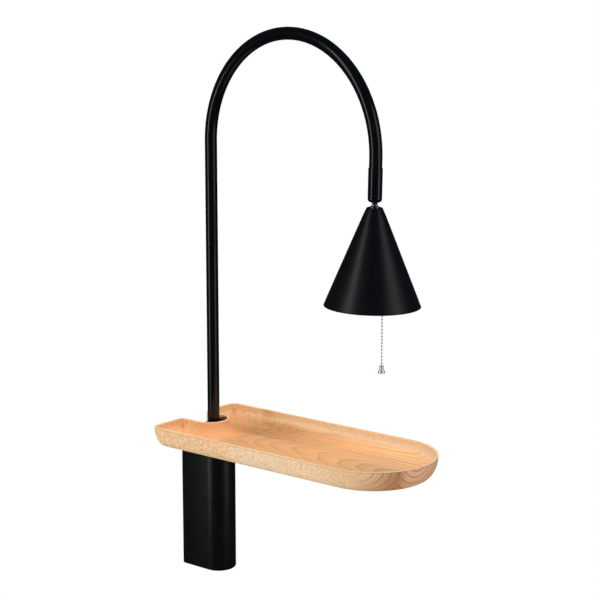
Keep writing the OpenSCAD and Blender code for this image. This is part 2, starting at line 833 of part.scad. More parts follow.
module supply_lead()
    color(nylon) {
        translate([0, -bracket_t - block_d, supply_z]) rotate([90, 0, 0]) cylinder(r = lead_r, h = 7.5);
        at_post() translate([0, supply_bend_r, supply_z + supply_bend_r]) rotate([90, 0, 90])
            rotate([0, 0, 180]) rotate_extrude(angle = 90) translate([supply_bend_r, 0]) circle(lead_r);
        at_post() translate([0, 0, supply_z + supply_bend_r])
            cylinder(r = lead_r, h = sleeve_floor - supply_z - supply_bend_r);
    }

// ---- Arm ----

module arm_tube()
    color(black) at_arm() difference() {
        arm_path(tube_r, post_bottom, leg_l);
        arm_path(tube_bore_r, post_bottom - through, leg_l + through);
        rotate([0, 0, 90 - arm_swing - stop_slot_extra]) translate([0, 0, stop_z - m4_hole_r])
            rotate_extrude(angle = 2 * (arm_swing + stop_slot_extra))
                translate([tube_bore_r - through, 0]) square([tube_wall + 2 * through, 2 * m4_hole_r]);
    }

// Foot of the socket's rounded end: a quarter ellipse from the side down to the mouth
socket_round_top = 0.2;
socket_round_steps = 12;

module ball_socket()
    color(black) at_ball() difference() {
        rotate_extrude() polygon(concat(
            [[0, socket_depth + socket_grip], [socket_r - 0.4, socket_depth + socket_grip]],
            [[socket_r, socket_depth + socket_grip - 0.4]],
            [for (i = [0 : socket_round_steps]) let (a = 90 * i / socket_round_steps) [
                mouth_r + (socket_r - mouth_r) * cos(a),
                socket_round_top - (mouth_drop + socket_round_top) * sin(a)
            ]],
            [[0, -mouth_drop]]
        ));
        translate([0, 0, socket_depth]) cylinder(r = tube_r + run_gap, h = socket_grip + through);
        translate([0, 0, seat_taper_z]) cylinder(r = cavity_r, h = socket_depth - seat_taper_z + eps);
        translate([0, 0, lip_top_z])
            cylinder(r1 = seat_bottom_r + run_gap, r2 = cavity_r, h = seat_taper_z - lip_top_z + eps);
        translate([0, 0, -mouth_drop - through]) cylinder(r = mouth_r, h = lip_t + 2 * through);
    }

module retaining_ring()
    color(steel) at_ball() translate([0, 0, ring_z]) difference() {
        tube(seat_r, ring_bore_r, ring_t);
        for (s = [-1, 1]) translate([s * (seat_r + ring_bore_r) / 2, 0, ring_t / 2])
            cylinder(r = ring_key_r, h = ring_t);
    }

module arm_lead()
    color(nylon) at_arm()
        arm_path(lead_r, sleeve_floor + lead_joint_gap, leg_l + socket_depth - ring_z - ring_t / 3);

// ---- Ball joint ----

module lower_seat()
    color(nylon) at_ball() difference() {
        union() {
            translate([0, 0, seat_taper_z]) cylinder(r = seat_r, h = -seat_taper_z);
            translate([0, 0, seat_bottom_z])
                cylinder(r1 = seat_bottom_r, r2 = seat_r, h = seat_taper_z - seat_bottom_z);
        }
        sphere(ball_seat_r);
    }

module upper_seat()
    color(nylon) at_ball() difference() {
        translate([0, 0, seat_split]) cylinder(r = seat_r, h = upper_seat_top - seat_split);
        sphere(ball_seat_r);
        cylinder(r = upper_seat_bore_r, h = upper_seat_top + through);
    }

module swivel_ball()
    color(brass) at_ball() difference() {
        sphere(ball_r);
        translate([0, 0, -2 * ball_r]) cylinder(r = stem_bore_clear_r, h = 4 * ball_r);
        translate([0, 0, stem_head_z]) cylinder(r = stem_head_r + run_gap, h = ball_r);
        translate([0, 0, ball_flat_z]) cylinder(r = ball_r, h = ball_r);
    }

module shade_stem()
    color(nickel) at_ball() difference() {
        union() {
            translate([0, 0, stem_bottom_z])
                cylinder(r = stem_r, h = stem_head_z + run_gap - stem_bottom_z + eps);
            translate([0, 0, stem_head_z + run_gap])
                cylinder(r = stem_head_r, h = ball_flat_z - stem_head_z - 2 * run_gap);
        }
        translate([0, 0, stem_bottom_z - through]) cylinder(r = stem_bore_r, h = ball_r * 2 - stem_bottom_z);
    }

// Collar between the ball and the shade: a narrow neck that flares to a thin foot
module neck_collar()
    color(nickel) at_ball() difference() {
        rotate_extrude() polygon(concat(
            [[0, collar_top_z], [neck_r, collar_top_z]],
            [for (i = [0 : 6]) let (a = 15 * i) [
                collar_r - (collar_r - neck_r) * cos(a),
                shade_top_z + collar_foot_t + collar_flare - collar_flare * sin(a)
            ]],
            [[collar_r, shade_top_z], [0, shade_top_z]]
        ));
        translate([0, 0, shade_top_z - through])
            cylinder(r = stem_bore_clear_r, h = collar_top_z - shade_top_z + 2 * through);
    }

// ---- Shade ----

function shade_outer(z) = shade_top_r + (shade_top_z - z) * shade_slope;

module shade()
    color(black) at_ball() difference() {
        rotate_extrude() polygon(concat(
            [[0, shade_top_z]],
            [for (i = [0 : 4]) let (a = 90 - 22.5 * i) [
                shade_top_r - shade_top_edge_r + shade_top_edge_r * cos(a),
                shade_top_z - shade_top_edge_r + shade_top_edge_r * sin(a)
            ]],
            [
                [shade_r, shade_rim_z],
                [shade_r - shade_wall_x, shade_rim_z],
                [shade_outer(shade_top_z - shade_plate_t) - shade_wall_x, shade_top_z - shade_plate_t],
                [0, shade_top_z - shade_plate_t]
            ]
        ));
        translate([0, 0, shade_top_z - shade_plate_t - through])
            cylinder(r = stem_r + seat_gap, h = shade_plate_t + 2 * through);
    }

module shade_nut()
    color(nickel) at_ball() translate([0, 0, shade_top_z - shade_plate_t - nut_t]) difference() {
        cylinder(r = nut_r, h = nut_t, $fn = 6);
        translate([0, 0, -through]) cylinder(r = stem_bore_clear_r, h = nut_t + 2 * through);
    }

// ---- Lamp holder, lamp and switch ----

module lamp_holder()
    color(plastic) at_holder() difference() {
        union() {
            translate([0, 0, holder_bottom_z]) cylinder(r = holder_r, h = holder_h - holder_shoulder);
            translate([0, 0, holder_top_z - holder_shoulder])
                cylinder(r1 = holder_r, r2 = holder_neck_r, h = holder_shoulder);
            translate([0, -pull_offset, pod_bottom_z]) cylinder(r = pod_r, h = pod_h);
            translate([-pod_r, -pull_offset, pod_bottom_z]) cube([2 * pod_r, pull_offset, pod_h]);
        }
        translate([0, 0, holder_bottom_z - through])
            cylinder(r = holder_bore_r, h = holder_cavity_z - holder_bottom_z + through);
        translate([0, 0, stem_bottom_z - slot_gap])
            cylinder(r = stem_r + seat_gap, h = stem_in_holder + through);
        translate([0, 0, holder_cavity_z - eps])
            cylinder(r = stem_bore_r, h = stem_bottom_z - holder_cavity_z);
        translate([0, -pull_offset, pod_bottom_z - through])
            cylinder(r = pod_bore_r, h = pod_h - pod_lid + through);
    }

module screw_shell()
    color(brass) at_holder() translate([0, 0, shell_top_z - shell_h])
        tube(shell_r, shell_r - shell_wall, shell_h);

module centre_contact()
    color(brass) at_holder() translate([0, 0, lamp_cap_top_z + 0.1])
        cylinder(r = contact_r, h = holder_cavity_z - lamp_cap_top_z - 0.1);

module lamp_cap()
    color(nickel) at_holder() translate([0, 0, lamp_neck_z + slot_gap])
        cylinder(r = lamp_cap_r, h = lamp_cap_top_z - lamp_neck_z - slot_gap);

// Half section of the lamp's bulb, drawn in by the glass's wall for its inside
module lamp_half_section(inset) {
    r = lamp_r - inset;
    neck = lamp_cap_r - inset;
    polygon(concat(
        [[0, lamp_neck_z + inset], [neck, lamp_neck_z + inset], [neck, lamp_neck_z - 4]],
        [for (i = [1 : 6]) let (a = 15 * i) [
            neck + (r - neck) * sin(a),
            lamp_neck_z - 4 - lamp_shoulder + lamp_shoulder * cos(a)
        ]],
        [for (i = [0 : 8]) let (a = 90 * i / 8) [r * cos(a), lamp_bottom_z + lamp_r - r * sin(a)]]
    ));
}

module lamp_glass()
    color(opal) at_holder() rotate_extrude() difference() {
        lamp_half_section(0);
        lamp_half_section(glass_wall);
    }

module chain_guide()
    color(brass) at_holder() translate([0, -pull_offset, pod_bottom_z]) difference() {
        union() {
            cylinder(r = pod_bore_r - seat_gap / 2, h = guide_seat_h);
            translate([0, 0, -guide_lip_h]) cylinder(r1 = guide_lip_r, r2 = pod_bore_r, h = guide_lip_h);
        }
        translate([0, 0, -guide_lip_h - through])
            cylinder(r = rod_r + run_gap, h = guide_seat_h + guide_lip_h + 2 * through);
    }

module head_lead()
    color(nylon) at_holder() translate([0, 0, holder_cavity_z + slot_gap])
        cylinder(r = stem_bore_r - seat_gap, h = stem_head_z - holder_cavity_z);

module pull_spring()
    color(steel) at_holder() translate([0, -pull_offset, guide_top_z])
        tube(spring_r, spring_bore_r, plunger_head_z - plunger_head_h - guide_top_z);

module switch_plunger()
    color(brass) at_holder() translate([0, -pull_offset, 0]) difference() {
        union() {
            translate([0, 0, plunger_head_z - plunger_head_h]) cylinder(r = plunger_r, h = plunger_head_h);
            translate([0, 0, eye_z + eye_hole_r + 0.4])
                cylinder(r = rod_r, h = plunger_head_z - plunger_head_h - eye_z - eye_hole_r - 0.4 + eps);
            translate([-eye_t / 2, 0, eye_z]) rotate([0, 90, 0]) cylinder(r = eye_r, h = eye_t);
        }
        translate([-eye_t, 0, eye_z]) rotate([0, 90, 0]) cylinder(r = eye_hole_r, h = 2 * eye_t);
    }

// ---- Chain ----

module wire_ring(r) rotate_extrude() translate([r, 0]) circle(link_wire_r);

module chain_hook()
    color(nickel) at_chain() translate([0, 0, -hook_ring_r]) rotate([90, 0, 0]) wire_ring(hook_ring_r);

module bead_chain()
    color(nickel) at_chain() {
        translate([0, 0, -clasp_pivot - clasp_ring_r]) rotate([0, 90, 0]) wire_ring(clasp_ring_r);
        for (i = [0 : bead_count - 1]) translate([0, 0, -first_bead - i * bead_pitch]) sphere(bead_r);
        translate([0, 0, -bell_top - bell_wall / 2])
            cylinder(r = bead_wire_r, h = bell_top + bell_wall / 2 - clasp_bottom);
    }

// The bell hangs on the wire that runs down into its crown
module bell_pull()
    color(nickel) at_chain() rotate_extrude() difference() {
        polygon([
            [bead_wire_r + 0.05, -bell_top],
            [bell_top_r * 0.75, -bell_top],
            [bell_top_r, -bell_top - bell_h * 0.1],
            [bell_top_r * 1.05, -bell_top - bell_h * 0.35],
            [bell_r * 0.8, -bell_top - bell_h * 0.7],
            [bell_r, -bell_top - bell_h * 0.93],
            [bell_r, -bell_top - bell_h],
            [bead_wire_r + 0.05, -bell_top - bell_h]
        ]);
        polygon([
            [0, -bell_top - bell_h * 0.45],
            [bell_top_r * 0.7, -bell_top - bell_h * 0.5],
            [bell_r * 0.8 - bell_wall, -bell_top - bell_h * 0.75],
            [bell_r - bell_wall, -bell_top - bell_h - through],
            [0, -bell_top - bell_h - through]
        ]);
    }

wall_bracket();
housing();
base_plate();
cap_plate();
housing_screw();
tray_plate();
tray();
tray_screws();
post_cover();
cap_screws();
post_sleeve();
upper_bush();
lower_bush();
thrust_washer();
stop_screw();
terminal_block();
terminal_screws();
block_screws();
cable_grommet();
earth_screw();
supply_lead();
arm_tube();
ball_socket();
retaining_ring();
arm_lead();
lower_seat();
upper_seat();
swivel_ball();
shade_stem();
neck_collar();
shade();
shade_nut();
lamp_holder();
screw_shell();
centre_contact();
lamp_cap();
lamp_glass();
chain_guide();
head_lead();
pull_spring();
switch_plunger();
chain_hook();
bead_chain();
bell_pull();
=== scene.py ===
"""Looks of the wall lamp with shelf: a black wall housing under a beech tray, and an arched tube lamp with
a cone shade, a ball joint and a bead pull chain. Lengths are in metres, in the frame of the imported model."""

import json
from math import asin, cos, hypot, pi, radians, sin

import bpy
from bpy.props import FloatProperty, FloatVectorProperty, IntProperty, PointerProperty
from mathutils import Matrix, Vector

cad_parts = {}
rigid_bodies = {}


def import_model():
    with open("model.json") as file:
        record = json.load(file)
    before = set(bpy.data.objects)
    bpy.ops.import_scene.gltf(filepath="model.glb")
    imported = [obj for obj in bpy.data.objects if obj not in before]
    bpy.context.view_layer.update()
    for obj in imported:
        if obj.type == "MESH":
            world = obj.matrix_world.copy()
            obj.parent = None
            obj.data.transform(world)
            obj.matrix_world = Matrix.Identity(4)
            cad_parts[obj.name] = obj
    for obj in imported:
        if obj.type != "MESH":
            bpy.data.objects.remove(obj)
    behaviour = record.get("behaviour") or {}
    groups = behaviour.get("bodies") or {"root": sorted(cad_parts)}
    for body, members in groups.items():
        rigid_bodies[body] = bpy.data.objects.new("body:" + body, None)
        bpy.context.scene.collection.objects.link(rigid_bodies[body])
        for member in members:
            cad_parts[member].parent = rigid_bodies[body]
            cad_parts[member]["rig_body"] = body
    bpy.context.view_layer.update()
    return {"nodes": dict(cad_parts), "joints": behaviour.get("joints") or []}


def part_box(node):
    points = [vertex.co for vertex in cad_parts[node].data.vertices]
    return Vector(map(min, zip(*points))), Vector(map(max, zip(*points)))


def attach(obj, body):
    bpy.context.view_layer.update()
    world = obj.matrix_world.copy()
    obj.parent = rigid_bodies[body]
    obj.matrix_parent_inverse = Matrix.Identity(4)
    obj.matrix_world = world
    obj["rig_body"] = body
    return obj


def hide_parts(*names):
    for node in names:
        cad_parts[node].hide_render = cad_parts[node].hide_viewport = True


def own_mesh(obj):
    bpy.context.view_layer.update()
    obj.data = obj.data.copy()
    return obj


bl_info = {
    "name": "Wall lamp with shelf",
    "version": (1, 0, 0),
    "blender": (4, 5, 0),
    "location": "View3D > Sidebar > Wall lamp",
    "description": "Models and finishes the pieces of a wall lamp with a wooden shelf",
    "category": "Object",
}

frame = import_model()

MM = 0.001
UP = Vector((0, 0, 1))

# Points nearer than MERGE become one, so a round tip whose last ring has the radius TIP closes to a point
MERGE = 2e-6
TIP = 4e-7

# The tray that its wood's figure follows: its rim, floor, half width, straight part and length, how fast the
# middle of its wall moves in with the square of the depth, and how far in that middle lies at the rim
TRAY_RIM = 0.117
TRAY_FLOOR = 0.0995
TRAY_HALF = 0.0825
TRAY_STRAIGHT = 0.3025
TRAY_LENGTH = 0.385
SIDE_CURVE = 10.2
WALL_MIDDLE = 0.0012

# The pith of the trunk that the tray is sawn from, and the width of its growth rings
PITH_HEIGHT = 0.1861
PITH_LEAN = 0.150
PITH_START = 0.200
PITH_DRIFT = -0.060
RING_WIDTH = 0.0047
RING_SHIFT = 0.0004

# The tray is glued from two boards; on the round end each shows its own rings, round a pith (across, height).
# SEAM is half the width over which one tone passes into another at a glue joint or an edge
BOARD_JOINT = -0.038
NEAR_PITH = (-0.086, 0.120)
FAR_PITH = (-0.016, 0.126)
END_RING_WIDTH = 0.0078
SEAM = 0.0002

# Tones of the wood that only one place of the tray shows
PALE_SIDE = (0.92, 0.75, 0.54)
PALE_SIDE_FRONT = (0.92, 0.72, 0.5)
WALL_BACK = (0.95, 0.65, 0.34)
WALL_FRONT = (0.96, 0.72, 0.46)
COLLAR_LEFT = (0.93, 0.44, 0.185)
COLLAR_RIGHT = (0.84, 0.32, 0.11)
FLAME_ORANGE = (0.82, 0.34, 0.14)
END_ROSE = (0.82, 0.47, 0.29)
END_ROSE_DEEP = (0.82, 0.46, 0.28)


# ---- Sizes and colours a user would change ----


def length(name, description, default):
    return FloatProperty(
        name=name, description=description, default=default, min=0, unit="LENGTH", precision=5
    )


def colour(name, description, default):
    return FloatVectorProperty(
        name=name, description=description, default=default, size=3, min=0, max=1, subtype="COLOR"
    )


class WallLampSizes(bpy.types.PropertyGroup):
    """Sizes of the visible pieces."""

    wood_edge: length("Wood edge", "Rounding of the tray's edges", 0.5 * MM)
    sheet_edge: length("Sheet edge", "Rounding of the edges of painted and plated steel", 0.25 * MM)
    moulded_edge: length("Moulded edge", "Rounding of the edges of plastic pieces", 0.4 * MM)
    screw_edge: length("Screw edge", "Rounding of the edges of screws", 0.12 * MM)
    tube_wall: length("Tube wall", "Wall of the arched tube", 1.5 * MM)
    arch_radius: length("Arch radius", "Radius of the arch at the tube's centre line", 141 * MM)
    leg_length: length("Leg length", "Straight length of tube after the arch", 36.5 * MM)
    shade_wall: length("Shade wall", "Sheet thickness of the cone shade", 1 * MM)
    hem_width: length("Hem width", "Width of the turned hem at the shade's rim", 1.1 * MM)
    bead_radius: length("Bead radius", "Radius of a bead of the pull chain", 1.15 * MM)
    bead_pitch: length("Bead pitch", "Distance from bead to bead", 4.15 * MM)
    bead_count: IntProperty(name="Beads", description="Number of beads", default=27, min=1)
    chain_wire: length("Chain wire", "Radius of the wire between the beads", 0.35 * MM)
    thread_pitch: length("Thread pitch", "Pitch of the lamp cap's thread", 2.8 * MM)
    facets: IntProperty(name="Facets", description="Facets round a large turned piece", default=96, min=24)


class WallLampColours(bpy.types.PropertyGroup):
    """Colours of the finishes."""

    black_paint: colour("Black paint", "Powder coat of the metal parts", (0.0008, 0.0021, 0.0038))
    wood_cream: colour("Wood cream", "Outer sides of the beech tray", (0.98, 0.675, 0.385))
    wood_honey: colour("Wood honey", "Body colour of the beech tray", (0.92, 0.48, 0.215))
    wood_amber: colour("Wood amber", "Flame figure in the tray's floor", (0.74, 0.395, 0.17))
    wood_brown: colour("Wood brown", "Heartwood, growth rings and pores", (0.40, 0.18, 0.07))
    zinc: colour("Zinc", "Plated steel", (0.50, 0.51, 0.52))
    brass: colour("Brass", "Brass parts of the switch and terminals", (0.72, 0.50, 0.20))
    nickel: colour("Nickel", "Pull chain and bell", (0.90, 0.87, 0.78))
    black_nickel: colour("Black nickel", "Ball, stem and collar", (0.34, 0.31, 0.28))
    nylon: colour("Nylon", "Bushes, seats and terminal block", (0.75, 0.73, 0.68))
    jacket: colour("Lead jacket", "Jacket of the inner leads", (0.78, 0.78, 0.76))
    rubber: colour("Rubber", "Cable grommet", (0.018, 0.018, 0.018))
    black_plastic: colour("Black plastic", "Lamp holder", (0.005, 0.005, 0.006))
    opal: colour("Opal glass", "Tubular lamp", (0.86, 0.84, 0.79))
    floor: colour("Floor", "Studio floor", (0.86, 0.86, 0.85))


def sizes():
    return bpy.context.scene.wall_lamp_sizes


def colours():
    return bpy.context.scene.wall_lamp_colours


# ---- Modelling helpers ----


def deselect_all():
    for thing in bpy.context.view_layer.objects:
        thing.select_set(False)


def make_active(piece):
    deselect_all()
    piece.select_set(True)
    bpy.context.view_layer.objects.active = piece


def edit(piece):
    make_active(piece)
    bpy.ops.object.mode_set(mode="EDIT")


def leave_edit():
    bpy.ops.object.mode_set(mode="OBJECT")


def apply_place():
    """Writes the active piece's place, turn and scale into its mesh."""
    bpy.ops.object.transform_apply(location=True, rotation=True, scale=True)


def close_seams():
    """In edit mode, merges doubles and turns every face outwards."""
    bpy.ops.mesh.select_all(action="SELECT")
    bpy.ops.mesh.remove_doubles(threshold=MERGE)
    bpy.ops.mesh.delete_loose(use_faces=False)
    bpy.ops.mesh.select_all(action="SELECT")
    bpy.ops.mesh.normals_make_consistent(inside=False)


def fill_and_close():
    """In edit mode, closes the open ends of a piece."""
    close_seams()
    bpy.ops.mesh.fill_holes(sides=0)
    close_seams()


def circle(name, **settings):
    """A new circle in edit mode, all of it selected, from which a piece is drawn."""
    deselect_all()
    bpy.ops.mesh.primitive_circle_add(**settings)
    piece = bpy.context.object
    piece.name = name
    bpy.ops.object.mode_set(mode="EDIT")
    bpy.ops.mesh.select_all(action="SELECT")
    return piece


def arc(centre_r, centre_z, radius, start, end, steps, rise=None):
    """Points (radius, height) along an arc of a turned piece's half section; angles in degrees from +r.
    An arc with a rise of its own is part of an ellipse."""
    rise = radius if rise is None else rise
    angles = [radians(start + (end - start) * i / steps) for i in range(steps + 1)]
    return [(centre_r + radius * cos(angle), centre_z + rise * sin(angle)) for angle in angles]


def turned(name, section, facets=64, closed=True):
    """A turned piece about Z: a circle at the half section's first point, extruded from point to point."""
    radius, height = section[0]
    piece = circle(name, vertices=facets, radius=radius, location=(0, 0, height))
    piece.data.name = name
    for next_radius, next_height in section[1:] + section[:1] * closed:
        bpy.ops.mesh.extrude_edges_move(TRANSFORM_OT_translate={"value": (0, 0, next_height - height)})
        grow = next_radius / radius
        bpy.ops.transform.resize(value=(grow, grow, 1), center_override=(0, 0, next_height))
        radius, height = next_radius, next_height
    if closed:
        close_seams()
    else:
        fill_and_close()
    leave_edit()
    apply_place()
    return piece


def apply_modifier(piece, name, kind, **settings):
    make_active(piece)
    modifier = piece.modifiers.new(name, kind)
    for key, value in settings.items():
        setattr(modifier, key, value)
    bpy.ops.object.modifier_apply(modifier=modifier.name)


def round_edges(piece, width, segments=2, angle=35):
    apply_modifier(
        piece, "rounded_edges", "BEVEL", width=width, segments=segments, limit_method="ANGLE",
        angle_limit=radians(angle), use_clamp_overlap=True, miter_outer="MITER_ARC",
    )


def copy_of_node(node, name):
    """A merged copy of a node's mesh, with its flat faces whole."""
    source = frame["nodes"][node]
    piece = bpy.data.objects.new(name, source.data.copy())
    piece.data.name = name
    bpy.context.scene.collection.objects.link(piece)
    edit(piece)
    bpy.ops.mesh.select_mode(type="VERT")
    bpy.ops.mesh.select_all(action="SELECT")
    bpy.ops.mesh.remove_doubles(threshold=MERGE)
    bpy.ops.mesh.dissolve_limited(angle_limit=radians(0.3), use_dissolve_boundaries=False)
    leave_edit()
    return piece


def moved(piece, matrix):
    """Places a piece and writes the place into its mesh."""
    make_active(piece)
    piece.matrix_world = matrix
    apply_place()
    return piece


def joined(name, pieces):
    """One piece out of several."""
    make_active(pieces[0])
    for piece in pieces:
        piece.select_set(True)
    bpy.ops.object.join()
    whole = bpy.context.object
    whole.name = name
    whole.data.name = name
    return whole


def own_copy(piece, name, offset):
    """A copy with its own mesh, shifted by an offset."""
    twin = piece.copy()
    twin.data = piece.data.copy()
    twin.name = name
    bpy.context.scene.collection.objects.link(twin)
    return moved(twin, Matrix.Translation(offset))


def dressed(piece, node, finish, smooth=35):
    """Finishes a piece that stands for a node: smooth shading, the named finish and the node's body, and hides
    the node.
    """
    make_active(piece)
    bpy.ops.object.shade_smooth_by_angle(angle=radians(smooth))
    piece.data.materials.clear()
    piece.data.materials.append(finishes()[finish])
    piece.matrix_world = Matrix.Identity(4)
    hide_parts(node)
    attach(piece, frame["nodes"][node]["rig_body"])
    return piece


def coated(node, finish, width, name, segments=2, angle=35):
    """A node's own shape with rounded edges and its finish."""
    piece = copy_of_node(node, name)
    round_edges(piece, width, segments, angle)
    return dressed(piece, node, finish)


def turned_part(node, name, section, place, finish, facets=64, smooth=32, closed=True):
    """A turned piece at its place, finished to stand for a node."""
    return dressed(moved(turned(name, section, facets, closed), place), node, finish, smooth)


# ---- Places that the frame gives ----


def joint(name):
    return next(j for j in frame["joints"] if j["name"] == name)


def joint_point(name):
    return Vector(joint(name)["pos_m"])


def joint_axis(name):
    return Vector(joint(name)["axis"]).normalized()


def axes_matrix(origin, x_axis, z_axis):
    """The frame with its origin at a point, Z along one direction and X near another."""
    z_axis = z_axis.normalized()
    y_axis = z_axis.cross(x_axis).normalized()
    x_axis = y_axis.cross(z_axis)
    rotation = Matrix((x_axis, y_axis, z_axis)).transposed().to_4x4()
    return Matrix.Translation(origin) @ rotation


def post_point():
    low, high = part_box("upper_bush")
    return Vector(((low.x + high.x) / 2, (low.y + high.y) / 2, 0))


def ball_frame():
    """The lamp head's frame: origin in the middle of the ball, Z along the end of the tube."""
    return axes_matrix(joint_point("head_turn"), joint_axis("head_tilt"), joint_axis("head_turn"))


def chain_frame():
    """The chain's frame: origin in the plunger's eye, Z up, X along the first hinge's pin."""
    return axes_matrix(joint_point("chain_swing"), joint_axis("chain_swing"), UP)


def holder_frame():
    """The lamp holder's frame: as the ball's, turned so that the pull switch lies towards -Y."""
    ball = ball_frame()
    eye = ball.inverted() @ joint_point("chain_swing")
    out = ball.to_3x3() @ Vector((-eye.y, eye.x, 0))
    return axes_matrix(joint_point("head_turn"), out, joint_axis("head_turn"))


# ---- Materials ----


class Finish:
    """A procedural material, built node by node."""

    def __init__(self, name, **sockets):
        self.material = bpy.data.materials.new(name)
        self.material.use_nodes = True
        self.tree = self.material.node_tree
        self.tree.nodes.clear()
        self.shader = self.node("ShaderNodeBsdfPrincipled")
        output = self.node("ShaderNodeOutputMaterial")
        self.link(self.shader.outputs["BSDF"], output.inputs["Surface"])
        self.place = self.node("ShaderNodeTexCoord").outputs["Object"]
        for socket, value in sockets.items():
            self.shader.inputs[socket.replace("_", " ")].default_value = value

    def node(self, kind, **settings):
        made = self.tree.nodes.new(kind)
        for key, value in settings.items():
            setattr(made, key, value)
        return made

    def link(self, source, target):
        self.tree.links.new(source, target)

    def mapped(self, scale=(1, 1, 1), location=(0, 0, 0), rotation=(0, 0, 0), source=None):
        mapping = self.node("ShaderNodeMapping")
        mapping.inputs["Scale"].default_value = scale
        mapping.inputs["Location"].default_value = location
        mapping.inputs["Rotation"].default_value = rotation
        self.link(source or self.place, mapping.inputs["Vector"])
        return mapping.outputs["Vector"]

    def noise(self, vector, scale, detail=2, roughness=0.5):
        noise = self.node("ShaderNodeTexNoise")
        noise.inputs["Scale"].default_value = scale
        noise.inputs["Detail"].default_value = detail
        noise.inputs["Roughness"].default_value = roughness
        self.link(vector, noise.inputs["Vector"])
        return noise.outputs["Fac"]

    def math(self, operation, first, second=None):
        made = self.node("ShaderNodeMath", operation=operation)
        for socket, value in zip(made.inputs, (first, second)):
            if value is None:
                continue
            if isinstance(value, (int, float)):
                socket.default_value = value
            else:
                self.link(value, socket)
        return made.outputs[0]

    def times(self, first, second):
        return self.math("MULTIPLY", first, second)

    def plus(self, first, second):
        return self.math("ADD", first, second)

    def minus(self, first, second):
        return self.math("SUBTRACT", first, second)

    def distance(self, first, second):
        """How far two parts of a step, at right angles, lead together."""
        return self.math("SQRT", self.plus(self.math("POWER", first, 2), self.math("POWER", second, 2)))

    def ranged(self, value, low, high, to_low, to_high):
        made = self.node("ShaderNodeMapRange")
        for socket, number in zip(list(made.inputs)[1:5], (low, high, to_low, to_high)):
            socket.default_value = number
        self.link(value, made.inputs["Value"])
        return made.outputs["Result"]

    def ramp(self, value, stops):
        made = self.node("ShaderNodeValToRGB")
        elements = made.color_ramp.elements
        while len(elements) < len(stops):
            elements.new(0.5)
        for element, (position, tone) in zip(elements, stops):
            element.position = position
            element.color = (*tone, 1)
        self.link(value, made.inputs["Fac"])
        return made.outputs["Color"]

    def grey_ramp(self, value, stops):
        return self.ramp(value, [(position, (grey,) * 3) for position, grey in stops])

    def paint(self, tone):
        self.link(tone, self.shader.inputs["Base Color"])

    def clouded(self, cloud, tone, darker, paler, low=0.3, high=0.7):
        """Paints one tone, darker where the cloud is thin and paler where it is thick."""
        self.paint(self.ramp(cloud, [(low, toned(tone, darker)), (high, toned(tone, paler))]))

    def uneven_gloss(self, pattern, rough, spread):
        """Roughness that strays from its middle value by a spread, with the pattern."""
        uneven = self.ranged(pattern, 0.3, 0.7, rough - spread, rough + spread)
        self.link(uneven, self.shader.inputs["Roughness"])

    def mix(self, factor, first, second):
        made = self.node("ShaderNodeMix", data_type="RGBA", blend_type="MIX")
        pairs = (("Factor_Float", factor), ("A_Color", first), ("B_Color", second))
        for identifier, value in pairs:
            socket = next(s for s in made.inputs if s.identifier == identifier)
            if isinstance(value, (int, float)):
                socket.default_value = value
            elif isinstance(value, (tuple, list)):
                socket.default_value = (*value, 1)
            else:
                self.link(value, socket)
        return next(s for s in made.outputs if s.identifier == "Result_Color")

    def bump(self, height, distance):
        made = self.node("ShaderNodeBump")
        made.inputs["Distance"].default_value = distance
        self.link(height, made.inputs["Height"])
        self.link(made.outputs["Normal"], self.shader.inputs["Normal"])


def toned(tone, factor):
    """A colour made darker or paler, within what a colour can be."""
    return tuple(min(1.0, channel * factor) for channel in tone)


def mixed(first, second, share):
    """A colour part of the way from one to another."""
    return tuple(a + (b - a) * share for a, b in zip(first, second))


def powder_coat(name, rough, grain):
    """Black powder coat: a fine orange-peel skin, a little uneven in gloss."""
    tone = tuple(colours().black_paint)
    finish = Finish(name, Specular_IOR_Level=0.38)
    cloud_scale, speckle_scale, skin_scale = 34, 1500, 950
    cloud = finish.noise(finish.place, cloud_scale, detail=3)
    finish.clouded(cloud, tone, 0.82, 1.2, low=0.25, high=0.75)
    speckle = finish.noise(finish.place, speckle_scale, detail=2)
    finish.uneven_gloss(finish.plus(finish.times(cloud, 0.6), finish.times(speckle, 0.4)), rough, 0.02)
    skin = finish.noise(finish.place, skin_scale, detail=3, roughness=0.6)
    finish.bump(skin, grain)
    return finish.material


